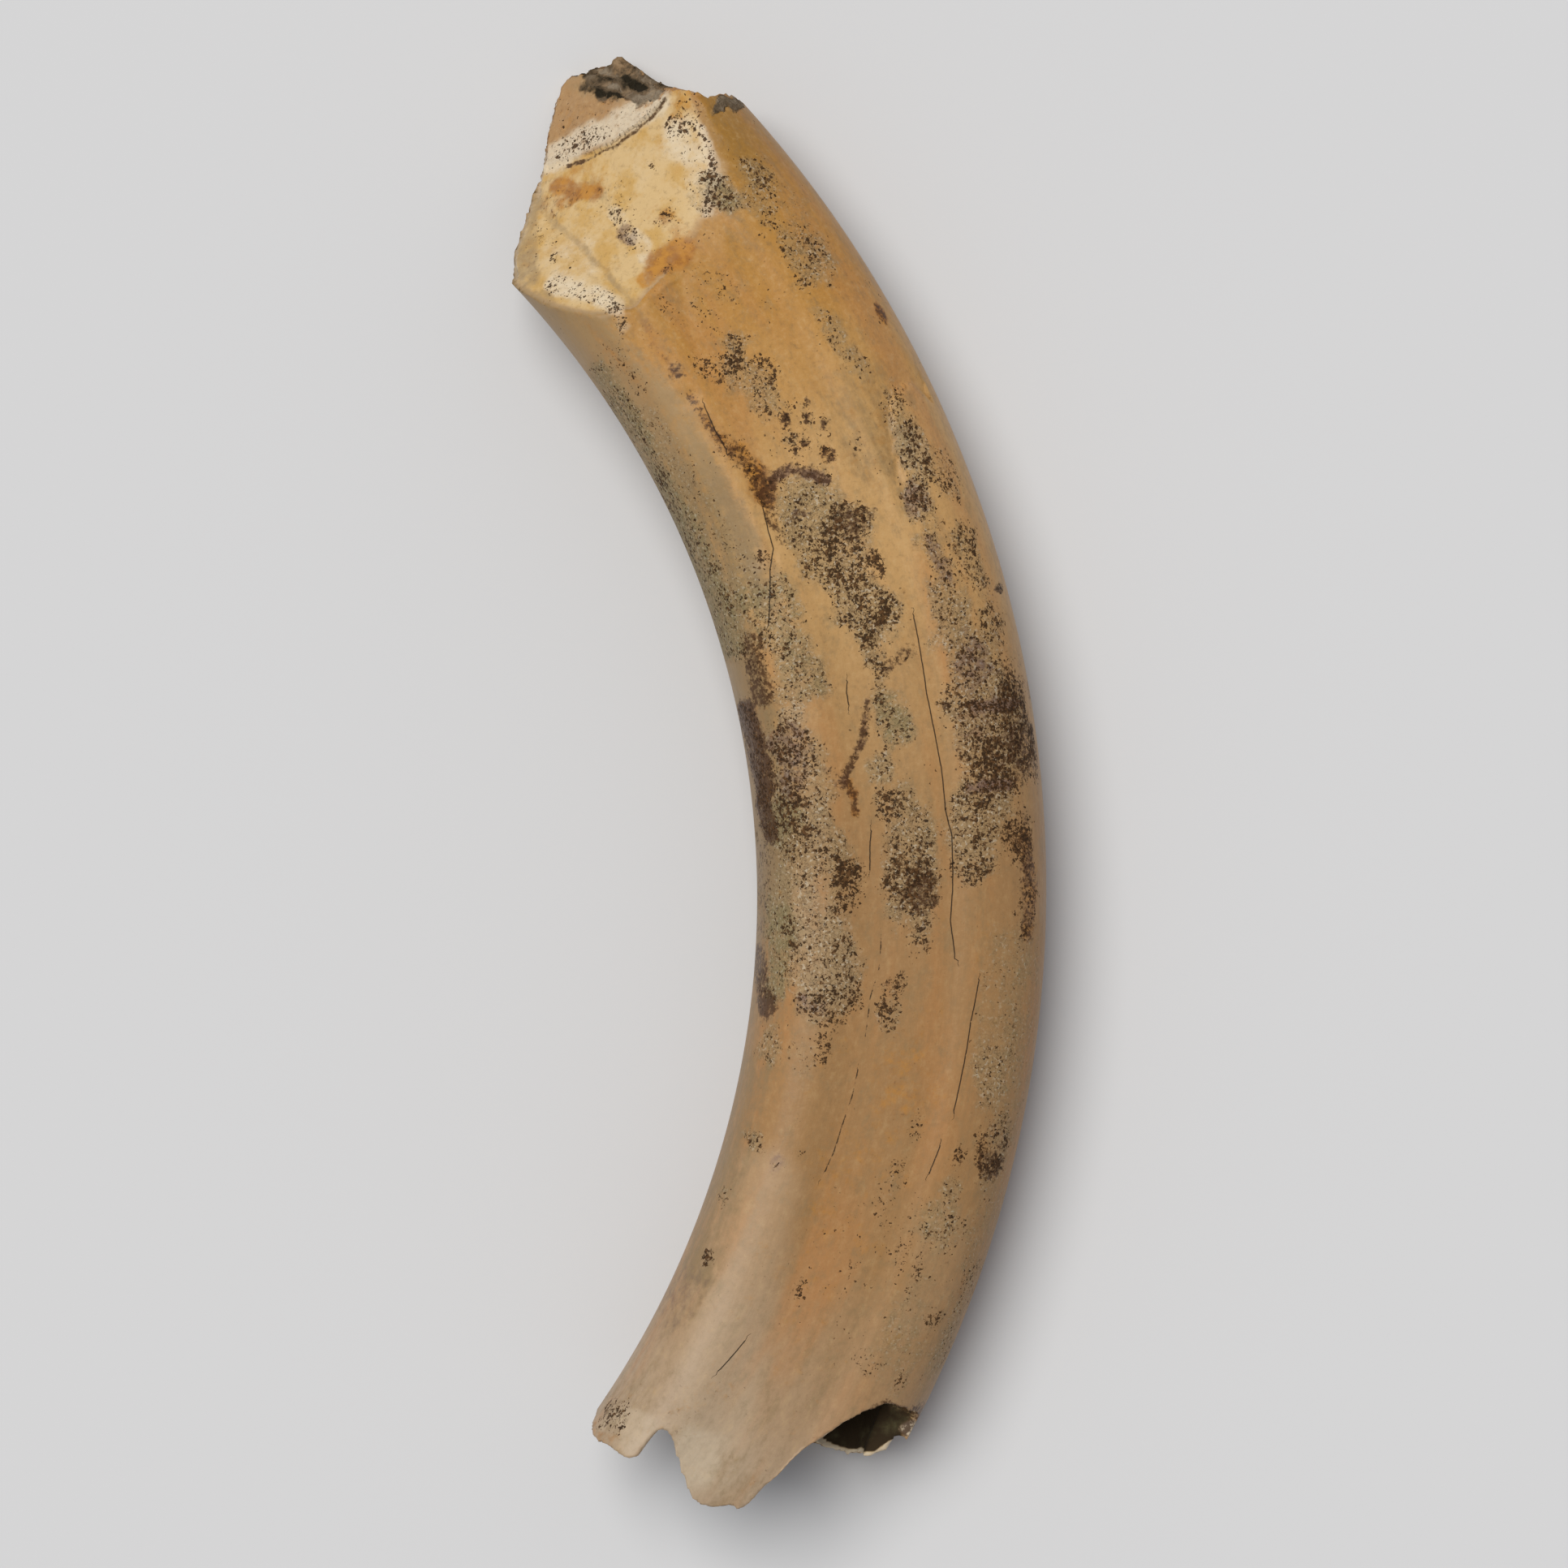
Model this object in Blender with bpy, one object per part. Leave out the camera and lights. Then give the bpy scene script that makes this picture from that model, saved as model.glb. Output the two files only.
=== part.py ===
"""Fossil tooth of a giant ground sloth, lying on its side.

Metres, +Z up. The tooth grew along an arc that lies level, with its concave side towards -X, its
worn and broken crown towards +Y and its open, broken root towards -Y. It rests on a narrow flat
strip at Z = 0, and the origin is under the middle of its bounding box.

A place along the tooth is an angle on the arc, and a place across it is a distance from the
middle of the arc, outwards towards the convex side. Sizes are in millimetres until a mesh or a
curve is made.
"""

import math

import bmesh
import bpy
from mathutils import Vector, noise

MM = 0.001

# The arc that the tooth grew along, and how far the blank runs past both ends
ARC_RADIUS = 133.9
ARC_CENTRE = (-118.3, -15.6)
ROOT_ANGLE = -39.0
CROWN_ANGLE = 53.0
STATIONS = 66

# The cross-section, across and up, from the right end of the resting strip round to its left end
SECTION = (
    (9.8, 0.0),
    (13.9, 1.3),
    (17.1, 4.6),
    (18.7, 9.2),
    (18.8, 13.8),
    (17.4, 18.3),
    (14.5, 21.8),
    (10.4, 24.0),
    (5.4, 25.0),
    (0.3, 25.9),
    (-4.8, 27.1),
    (-9.6, 28.4),
    (-13.8, 27.5),
    (-16.9, 24.0),
    (-18.5, 19.4),
    (-18.8, 15.2),
    (-17.2, 12.0),
    (-13.5, 9.6),
    (-9.1, 7.0),
    (-4.7, 4.0),
    (-0.7, 1.2),
    (3.2, 0.0),
)
SECTION_STEPS = 2

# The section's scale along the arc: it narrows a little towards the root
TAPER_PER_STEP = 0.027
TAPER_CURVE = -0.0131
TAPER_START_ANGLE = -2.5
TAPER_STEP_ANGLE = 42.8

# The hollow that held the pulp, a bent cone that opens at the root. It is the section drawn in
# towards a middle height, and it runs from the mouth to the tip at these angles.
WALL_SCALE_ACROSS = 0.88
WALL_SCALE_UP = 0.83
HOLLOW_MIDDLE = 14.2
HOLLOW_MOUTH_ANGLE = -40.0
HOLLOW_TIP_ANGLE = -10.0
HOLLOW_STATIONS = 12
HOLLOW_BLUNTNESS = 1.6
HOLLOW_FULLNESS = 0.72
HOLLOW_TIP_SCALE = 0.08

# The crown's own axes are across and along the tooth at this angle
CROWN_FRAME_ANGLE = 42.8

# The worn face, as a height over the crown's axes: level, slopes, hollows and twist. Its cutter
# starts well down the shaft, where that height is above the tooth.
FACET_START_ALONG = -22.0
FACET_SPAN = (-24.0, 22.0)
FACET_COLUMNS = 23
FACET_ROWS = 14
FACET_LEVEL = 18.5
FACET_ACROSS = 0.18
FACET_ALONG = -0.78
FACET_ACROSS_HOLLOW = 0.009
FACET_TWIST = 0.026
FACET_ALONG_HOLLOW = -0.013

# The chipped edge where the worn face ends, across and along, and the plane beyond it, whose
# cutter laps a little over the worn face
CHIP_EDGE = ((-24.0, 18.0), (-4.8, 10.3), (0.2, 7.2), (3.4, 6.1), (9.1, 5.2), (12.6, 5.3), (26.0, 5.6))
TIP_LEVEL = 21.2
TIP_ACROSS = 0.38
TIP_ALONG = -1.14
TIP_LAP = 0.15
TIP_END_ALONG = 22.0
TIP_SPAN = (-14.0, 24.0)
TIP_COLUMNS = 36
TIP_ROWS = 16

# The broken pit in the tip
PIT_LEFT = 7.0
PIT_CORNER = (7.0, 11.2)
PIT_TURN = 46.0
PIT_DEPTH = 2.2
PIT_BANK = 1.6
PIT_ROUGHNESS = 0.7
PIT_GRAIN = 0.45

# What stays of the crown, seen from above: across and along
CROWN_OUTLINE = (
    (-30.0, -8.0),
    (-20.5, -4.0),
    (-18.6, 2.0),
    (-15.6, 4.9),
    (-12.1, 7.1),
    (-9.3, 8.8),
    (-7.4, 9.7),
    (-5.2, 10.9),
    (-2.5, 13.5),
    (1.9, 16.5),
    (4.3, 17.7),
    (5.7, 17.6),
    (7.0, 16.3),
    (8.4, 16.2),
    (9.6, 15.1),
    (11.3, 15.1),
    (12.0, 14.8),
    (12.1, 12.7),
    (12.4, 11.2),
    (12.6, 9.2),
    (12.9, 7.2),
    (13.7, 5.5),
    (15.1, 3.0),
    (15.3, 1.7),
    (16.6, 1.4),
    (18.2, 0.3),
    (18.9, -2.0),
    (22.0, -4.5),
    (30.0, -8.0),
)

# The broken rim of the root: angle on the arc and distance across. The upper wall stands towards
# +Z, and the lower wall is the one that the tooth lies on.
RIM_SPLIT_HEIGHT = 14.0
RIM_LAP = 0.05
RIM_HALF_SPAN = 26.0
RIM_FAR_ANGLE = -48.0
UPPER_RIM = (
    (-33.0, -26.0),
    (-34.4, -18.6),
    (-35.5, -17.8),
    (-36.4, -17.4),
    (-36.7, -16.0),
    (-36.4, -14.7),
    (-36.4, -12.5),
    (-36.3, -11.4),
    (-35.7, -10.8),
    (-34.6, -10.8),
    (-33.2, -10.5),
    (-33.9, -8.3),
    (-35.0, -5.4),
    (-35.6, -3.5),
    (-36.0, -2.0),
    (-36.0, -0.3),
    (-35.7, 1.2),
    (-35.2, 2.4),
    (-35.0, 4.0),
    (-34.3, 4.5),
    (-33.3, 4.8),
    (-32.3, 5.6),
    (-31.3, 6.0),
    (-30.5, 6.6),
    (-29.6, 7.9),
    (-28.4, 9.3),
    (-27.5, 10.8),
    (-26.5, 13.2),
    (-26.4, 14.8),
    (-26.4, 17.3),
    (-26.6, 26.0),
)
LOWER_RIM = (
    (-33.0, -26.0),
    (-34.4, -18.6),
    (-35.5, -17.6),
    (-36.5, -17.0),
    (-37.1, -16.1),
    (-35.3, -14.3),
    (-33.6, -10.3),
    (-32.4, -5.5),
    (-31.6, -0.4),
    (-31.0, 5.0),
    (-30.6, 9.9),
    (-30.2, 13.1),
    (-29.5, 15.1),
    (-28.8, 16.6),
    (-28.3, 16.6),
    (-27.6, 16.8),
    (-28.0, 18.4),
    (-27.2, 19.0),
    (-27.0, 26.0),
)

# How far the cutters reach beyond the tooth
CROWN_CLEAR_ALONG = 60.0
CROWN_HALF_SPAN = 30.0
TOP = 44.0
BELOW = -6.0

WELD_DISTANCE = 0.001
SHARP_ANGLE = 35.0
TAN_DENTINE = (0.43, 0.26, 0.11, 1.0)
DENTINE_ROUGHNESS = 0.38


def clear_scene():
    """Removes every object, so the script can start from any scene."""
    for old in list(bpy.data.objects):
        bpy.data.objects.remove(old, do_unlink=True)


def new_collection(name):
    """Adds a collection to the scene."""
    made = bpy.data.collections.new(name)
    bpy.context.scene.collection.children.link(made)
    return made


def arc_point(angle, across, height=0.0):
    """The place, in metres, at an angle on the arc and a distance across the tooth."""
    turn = math.radians(angle)
    reach = ARC_RADIUS + across
    x = ARC_CENTRE[0] + reach * math.cos(turn)
    y = ARC_CENTRE[1] + reach * math.sin(turn)
    return Vector((x, y, height)) * MM


def crown_point(across, along, height=0.0):
    """The place, in metres, in the crown's own axes."""
    turn = math.radians(CROWN_FRAME_ANGLE)
    x = across * math.cos(turn) - along * math.sin(turn)
    y = across * math.sin(turn) + along * math.cos(turn)
    return arc_point(CROWN_FRAME_ANGLE, 0.0, height) + Vector((x, y, 0.0)) * MM


def smooth_through(points, steps):
    """Points on an open smooth line through the given ones, with so many steps between each two."""
    ends = [2 * Vector(points[0]) - Vector(points[1]), 2 * Vector(points[-1]) - Vector(points[-2])]
    knots = [ends[0]] + [Vector(p) for p in points] + [ends[1]]
    found = []
    for before, start, end, after in zip(knots, knots[1:], knots[2:], knots[3:]):
        for step in range(steps):
            s = step / steps
            bend = 2 * before - 5 * start + 4 * end - after
            twist = 3 * start - before - 3 * end + after
            found.append(start + 0.5 * s * (end - before + s * (bend + s * twist)))
    return found + [Vector(points[-1])]


def between(points, across):
    """The along value at a distance across, on straight lines through (across, along) points."""
    for (a0, t0), (a1, t1) in zip(points, points[1:]):
        if across <= a1:
            return t0 + (t1 - t0) * (across - a0) / (a1 - a0)
    return points[-1][1]


def new_curve(name, points):
    """A curve object of one straight-sided spline through points in metres."""
    data = bpy.data.curves.new(name, "CURVE")
    spline = data.splines.new("POLY")
    spline.points.add(len(points) - 1)
    for knot, place in zip(spline.points, points):
        knot.co = (*place.to_3d(), 1.0)
    curve = bpy.data.objects.new(name, data)
    bpy.context.scene.collection.objects.link(curve)
    return curve


def flat_outline(name, points):
    """A closed, flat curve object through points in metres."""
    curve = new_curve(name, points)
    curve.data.dimensions = "2D"
    curve.data.splines[0].use_cyclic_u = True
    return curve


def as_mesh(curve, name, home):
    """Turns a curve object into a closed mesh object in a collection, and removes the curve."""
    bpy.context.view_layer.update()
    graph = bpy.context.evaluated_depsgraph_get()
    data = bpy.data.meshes.new_from_object(curve.evaluated_get(graph))
    data.name = name
    shape = bmesh.new()
    shape.from_mesh(data)
    bmesh.ops.remove_doubles(shape, verts=shape.verts, dist=WELD_DISTANCE * MM)
    bmesh.ops.recalc_face_normals(shape, faces=shape.faces)
    shape.to_mesh(data)
    shape.free()
    made = bpy.data.objects.new(name, data)
    made.matrix_world = curve.matrix_world
    home.objects.link(made)
    bpy.data.objects.remove(curve, do_unlink=True)
    return made


def arc_sweep(name, outline, angles, scales, height, home):
    """A closed mesh swept along the arc at a height, with an outline scaled at each angle."""
    profile = flat_outline(name + "_profile", [Vector(place) * MM for place in outline])
    path = new_curve(name + "_path", [arc_point(angle, 0.0, height) for angle in angles])
    path.data.dimensions = "3D"
    path.data.twist_mode = "Z_UP"
    for knot, scale in zip(path.data.splines[0].points, scales):
        knot.radius = scale
    path.data.bevel_mode = "OBJECT"
    path.data.bevel_object = profile
    path.data.use_fill_caps = True
    made = as_mesh(path, name, home)
    bpy.data.objects.remove(profile, do_unlink=True)
    return made


def taper(angle):
    """The section's scale at an angle on the arc."""
    step = (angle - TAPER_START_ANGLE) / TAPER_STEP_ANGLE
    return 1 + TAPER_PER_STEP * step + TAPER_CURVE * step * step


def make_blank(home):
    """The whole tooth before wear and breakage, swept along the arc."""
    span = CROWN_ANGLE - ROOT_ANGLE
    angles = [ROOT_ANGLE + span * i / (STATIONS - 1) for i in range(STATIONS)]
    outline = smooth_through(SECTION, SECTION_STEPS)
    return arc_sweep("tooth", outline, angles, [taper(angle) for angle in angles], 0.0, home)


def make_hollow(home):
    """The cutter for the pulp hollow: the section drawn in by the wall, narrowing to a blunt tip."""
    outline = [
        (x * WALL_SCALE_ACROSS, (z - HOLLOW_MIDDLE) * WALL_SCALE_UP)
        for x, z in smooth_through(SECTION, 1)
    ]
    angles, scales = [], []
    for i in range(HOLLOW_STATIONS + 1):
        part = i / HOLLOW_STATIONS
        angles.append(HOLLOW_MOUTH_ANGLE + (HOLLOW_TIP_ANGLE - HOLLOW_MOUTH_ANGLE) * part)
        scales.append(max(HOLLOW_TIP_SCALE, (1 - part**HOLLOW_BLUNTNESS) ** HOLLOW_FULLNESS))
    return arc_sweep("pulp_hollow", outline, angles, scales, HOLLOW_MIDDLE, home)


def facet_height(across, along):
    """The height of the worn face over the crown's axes."""
    return (
        FACET_LEVEL
        + FACET_ACROSS * across
        + FACET_ALONG * along
        + FACET_ACROSS_HOLLOW * across**2
        + FACET_TWIST * across * along
        + FACET_ALONG_HOLLOW * along**2
    )


def pit_depth(across, along):
    """How far the broken pit drops below the tip's plane, with its rough floor."""
    turn = math.radians(PIT_TURN)
    past = (across - PIT_CORNER[0]) * math.cos(turn) + (along - PIT_CORNER[1]) * math.sin(turn)
    inside = min(across - PIT_LEFT, past) / PIT_BANK
    share = max(0.0, min(1.0, inside))
    rough = noise.noise(Vector((across, along, 0.0)) * PIT_GRAIN)
    return share * (PIT_DEPTH + PIT_ROUGHNESS * rough)


def tip_height(across, along):
    """The height of the tip's plane beyond the chipped edge, with the pit in it."""
    return TIP_LEVEL + TIP_ACROSS * across + TIP_ALONG * along - pit_depth(across, along)


def height_block(name, span, along_of, cells, height_of, home):
    """A cutter that fills the space above a surface, given as a height over the crown's axes."""
    shape = bmesh.new()
    bmesh.ops.create_grid(shape, x_segments=cells[0], y_segments=cells[1], size=0.5)
    for vert in shape.verts:
        across = span[0] + (span[1] - span[0]) * (vert.co.x + 0.5)
        along = along_of(across, vert.co.y + 0.5)
        vert.co = crown_point(across, along, height_of(across, along))
    raised = bmesh.ops.extrude_face_region(shape, geom=list(shape.faces))
    for vert in raised["geom"]:
        if isinstance(vert, bmesh.types.BMVert):
            vert.co.z = TOP * MM
    bmesh.ops.recalc_face_normals(shape, faces=shape.faces)
    data = bpy.data.meshes.new(name)
    shape.to_mesh(data)
    shape.free()
    made = bpy.data.objects.new(name, data)
    home.objects.link(made)
    return made


def make_facet(home):
    """The cutter for the worn face, up to the chipped edge."""

    def along_of(across, part):
        """From well down the shaft to the chipped edge."""
        end = between(CHIP_EDGE, across)
        return FACET_START_ALONG + (end - FACET_START_ALONG) * part

    cells = (FACET_COLUMNS, FACET_ROWS)
    return height_block("worn_face", FACET_SPAN, along_of, cells, facet_height, home)


def make_tip(home):
    """The cutter for the plane beyond the chipped edge, which laps a little over the worn face."""

    def along_of(across, part):
        """From just inside the chipped edge to beyond the tip."""
        start = between(CHIP_EDGE, across) - TIP_LAP
        return start + (TIP_END_ALONG - start) * part

    cells = (TIP_COLUMNS, TIP_ROWS)
    return height_block("broken_tip", TIP_SPAN, along_of, cells, tip_height, home)


def outline_prism(name, points, low, high, home):
    """A cutter with a flat outline of points in metres, from a low height to a high one."""
    curve = flat_outline(name, points)
    curve.data.fill_mode = "BOTH"
    curve.data.extrude = (high - low) / 2 * MM
    curve.location.z = (high + low) / 2 * MM
    return as_mesh(curve, name, home)


def make_crown_edge(home):
    """The cutter that breaks the crown off along its outline."""
    edge = [crown_point(across, along) for across, along in CROWN_OUTLINE]
    sides = (CROWN_HALF_SPAN, -CROWN_HALF_SPAN)
    beyond = [crown_point(side, CROWN_CLEAR_ALONG) for side in sides]
    return outline_prism("crown_edge", edge + beyond, BELOW, TOP, home)


def make_rim(name, rim, low, high, home):
    """The cutter that breaks one wall of the root off along its rim."""
    edge = [arc_point(angle, across) for angle, across in rim]
    beyond = [arc_point(RIM_FAR_ANGLE, side) for side in (RIM_HALF_SPAN, -RIM_HALF_SPAN)]
    return outline_prism(name, edge + beyond, low, high, home)


def cut(body, cutter):
    """Takes a cutter away from a body."""
    cutter.hide_render = True
    cutter.display_type = "WIRE"
    step = body.modifiers.new(cutter.name, "BOOLEAN")
    step.operation = "DIFFERENCE"
    step.solver = "EXACT"
    step.object = cutter


def fossil_material():
    """Tan fossil dentine, half glossy."""
    made = bpy.data.materials.new("fossil_dentine")
    made.use_nodes = True
    shader = made.node_tree.nodes["Principled BSDF"]
    shader.inputs["Base Color"].default_value = TAN_DENTINE
    shader.inputs["Roughness"].default_value = DENTINE_ROUGHNESS
    shader.inputs["Metallic"].default_value = 0.0
    return made


def main():
    """Builds the tooth and its cutters."""
    clear_scene()
    parts = new_collection("fossil_tooth")
    cutters = new_collection("cutters")
    tooth = make_blank(parts)
    cut(tooth, make_facet(cutters))
    cut(tooth, make_tip(cutters))
    cut(tooth, make_crown_edge(cutters))
    cut(tooth, make_hollow(cutters))
    cut(tooth, make_rim("upper_rim", UPPER_RIM, RIM_SPLIT_HEIGHT, TOP, cutters))
    cut(tooth, make_rim("lower_rim", LOWER_RIM, BELOW, RIM_SPLIT_HEIGHT + RIM_LAP, cutters))
    tooth.data.materials.append(fossil_material())
    tooth.data.shade_smooth()
    tooth.data.set_sharp_from_angle(angle=math.radians(SHARP_ANGLE))


main()
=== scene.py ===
"""A fossil ground sloth tooth in a pale studio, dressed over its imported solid.

The piece starts as a copy of the solid, is given an even skin of small faces, is carved with its
growth grooves, wear and breaks, and carries its stains, layers and cracks as point attributes
that the material reads. Sizes are in millimetres until a mesh is written.
"""

import logging
import math
from dataclasses import dataclass, field
from enum import Enum
from typing import Sequence, Union

import bpy
import numpy as np
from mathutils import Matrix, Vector, noise


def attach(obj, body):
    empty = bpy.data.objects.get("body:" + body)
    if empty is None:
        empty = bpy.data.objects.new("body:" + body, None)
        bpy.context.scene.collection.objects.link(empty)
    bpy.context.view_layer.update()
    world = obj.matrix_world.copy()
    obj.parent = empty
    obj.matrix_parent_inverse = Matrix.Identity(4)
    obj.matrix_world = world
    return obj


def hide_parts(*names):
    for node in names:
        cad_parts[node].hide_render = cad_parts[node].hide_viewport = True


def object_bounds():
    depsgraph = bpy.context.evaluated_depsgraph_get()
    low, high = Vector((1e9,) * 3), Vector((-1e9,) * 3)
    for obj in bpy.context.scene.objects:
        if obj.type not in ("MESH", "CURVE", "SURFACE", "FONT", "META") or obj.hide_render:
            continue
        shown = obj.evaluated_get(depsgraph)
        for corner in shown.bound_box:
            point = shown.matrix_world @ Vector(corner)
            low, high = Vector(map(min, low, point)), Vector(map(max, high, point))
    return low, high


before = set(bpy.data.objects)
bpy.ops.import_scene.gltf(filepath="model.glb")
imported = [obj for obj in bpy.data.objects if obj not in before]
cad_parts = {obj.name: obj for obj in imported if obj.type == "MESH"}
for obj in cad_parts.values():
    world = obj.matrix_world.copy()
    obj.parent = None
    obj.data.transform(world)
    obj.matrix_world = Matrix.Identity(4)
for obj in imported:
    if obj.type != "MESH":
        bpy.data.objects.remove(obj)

MM = 0.001
CAD_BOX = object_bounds()

Place = tuple[float, float]
Span = tuple[float, float]
Number = Union[int, float]

logging.basicConfig(level=logging.INFO, format="%(message)s")
log = logging.getLogger("fossil_tooth")


class Layer(Enum):
    """The point attributes of the tooth, which say where each finish lies."""

    ALONG = "along"
    DEPTH = "depth"
    WEAR = "wear"
    TIP = "tip"
    SPECKLE = "speckle"
    BLOOM = "bloom"
    CRUST = "crust"
    RUST = "rust"
    LILAC = "lilac"
    PALE = "pale"
    SHADE = "shade"
    GREEN = "green"
    ROCK = "rock"
    PIT = "pit_shade"
    HOLLOW = "hollow"
    CRACK_SIDE = "crack_side"
    CRACK_HOLD = "crack_hold"


STAIN_LAYERS = (
    Layer.SPECKLE, Layer.BLOOM, Layer.CRUST, Layer.RUST, Layer.LILAC, Layer.GREEN,
)


class Side(Enum):
    """Which side of the lying tooth a mark is on, and what its points are given in."""

    SHOWN = "pixels of the photograph"
    HIDDEN = "degrees on the arc and millimetres across"


def smooth_step(span: Span, value: np.ndarray) -> np.ndarray:
    """Rises smoothly from 0 to 1, or falls where the span's first value is the larger.

    Args:
        span: The value that gives 0 and the value that gives 1.
        value: What is measured.

    Returns:
        The share, from 0 to 1.
    """
    low, high = span
    share = np.clip((value - low) / (high - low), 0.0, 1.0)
    return share * share * (3.0 - 2.0 * share)


def wavering(points: np.ndarray, seed: float) -> np.ndarray:
    """Smooth noise between about -1 and 1 at each point.

    Args:
        points: The places, already scaled so that one unit is one wave.
        seed: Shifts the pattern, so that two calls differ.

    Returns:
        One value for each point.
    """
    shift = Vector((seed, 1.7 * seed, -0.6 * seed))
    return np.array([noise.noise(Vector(point) + shift) for point in points])


@dataclass(frozen=True)
class Growth:
    """The form that the tooth grew to, as in its solid: one section swept along an arc."""

    radius: float = 133.9
    centre: Place = (-118.3, -15.6)
    section: tuple[Place, ...] = (
        (9.8, 0.0), (13.9, 1.3), (17.1, 4.6), (18.7, 9.2), (18.8, 13.8), (17.4, 18.3),
        (14.5, 21.8), (10.4, 24.0), (5.4, 25.0), (0.3, 25.9), (-4.8, 27.1), (-9.6, 28.4),
        (-13.8, 27.5), (-16.9, 24.0), (-18.5, 19.4), (-18.8, 15.2), (-17.2, 12.0),
        (-13.5, 9.6), (-9.1, 7.0), (-4.7, 4.0), (-0.7, 1.2), (3.2, 0.0),
    )
    section_steps: int = 14
    taper_start: float = -2.5
    taper_step: float = 42.8
    taper_rise: float = 0.027
    taper_curve: float = -0.0131
    root_angle: float = -37.0
    crown_angle: float = 51.0

    def taper(self, angle: np.ndarray) -> np.ndarray:
        """The section's scale at an angle on the arc."""
        step = (angle - self.taper_start) / self.taper_step
        return 1.0 + self.taper_rise * step + self.taper_curve * step * step

    def outline(self) -> np.ndarray:
        """Dense points on the section, from the right end of the resting strip over the top.

        Returns:
            One row (across, up) for each point. The last one closes the strip.
        """
        knots = np.array(self.section)
        first, last = 2 * knots[0] - knots[1], 2 * knots[-1] - knots[-2]
        knots = np.vstack([first, knots, last])
        share = np.arange(self.section_steps)[:, None] / self.section_steps
        found = []
        for before, start, end, after in zip(knots, knots[1:], knots[2:], knots[3:]):
            bend = 2 * before - 5 * start + 4 * end - after
            twist = 3 * start - before - 3 * end + after
            found.append(start + 0.5 * share * (end - before + share * (bend + share * twist)))
        strip = knots[-2] + share * (knots[1] - knots[-2])
        return np.vstack([*found, strip])

    def locate(self, x: np.ndarray, y: np.ndarray) -> tuple[np.ndarray, np.ndarray]:
        """The angle on the arc, in degrees, and the distance across of places seen from above."""
        dx, dy = x - self.centre[0], y - self.centre[1]
        return np.degrees(np.arctan2(dy, dx)), np.hypot(dx, dy) - self.radius

    def along(self, angle: np.ndarray) -> np.ndarray:
        """How far along the middle of the arc an angle is."""
        return self.radius * np.radians(angle)


@dataclass(frozen=True)
class Crown:
    """The worn face and the broken tip, as heights over the crown's own axes."""

    angle: float = 42.8
    first_angle: float = 25.0
    worn: tuple[float, ...] = (18.5, 0.18, -0.78, 0.009, 0.026, -0.013)
    worn_start: float = -22.0
    chip_edge: tuple[Place, ...] = (
        (-24.0, 18.0), (-4.8, 10.3), (0.2, 7.2), (3.4, 6.1), (9.1, 5.2), (12.6, 5.3), (26.0, 5.6),
    )
    tip: tuple[float, float, float] = (21.2, 0.38, -1.14)

    def axes(self, growth: Growth, x: np.ndarray, y: np.ndarray) -> tuple[np.ndarray, np.ndarray]:
        """Distances across and along the crown.

        Args:
            growth: The form whose arc the axes stand on.
            x: Places towards the convex side.
            y: Places towards the crown.

        Returns:
            The distances across and along, from the arc at the crown's angle.
        """
        turn = math.radians(self.angle)
        dx = x - growth.centre[0] - growth.radius * math.cos(turn)
        dy = y - growth.centre[1] - growth.radius * math.sin(turn)
        return dx * math.cos(turn) + dy * math.sin(turn), dy * math.cos(turn) - dx * math.sin(turn)

    def edge(self, across: np.ndarray) -> np.ndarray:
        """How far along the chipped edge of the worn face runs, at distances across."""
        places = np.array(self.chip_edge)
        return np.interp(across, places[:, 0], places[:, 1])

    def worn_height(self, across: np.ndarray, along: np.ndarray) -> np.ndarray:
        """The height of the worn face.

        Args:
            across: Distances across the crown.
            along: Distances along it.

        Returns:
            The heights.
        """
        level, by_across, by_along, hollow, twist, fall = self.worn
        bent = hollow * across**2 + twist * across * along + fall * along**2
        return level + by_across * across + by_along * along + bent

    def tip_height(self, across: np.ndarray, along: np.ndarray) -> np.ndarray:
        """The height of the broken plane beyond the chipped edge."""
        return self.tip[0] + self.tip[1] * across + self.tip[2] * along


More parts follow.
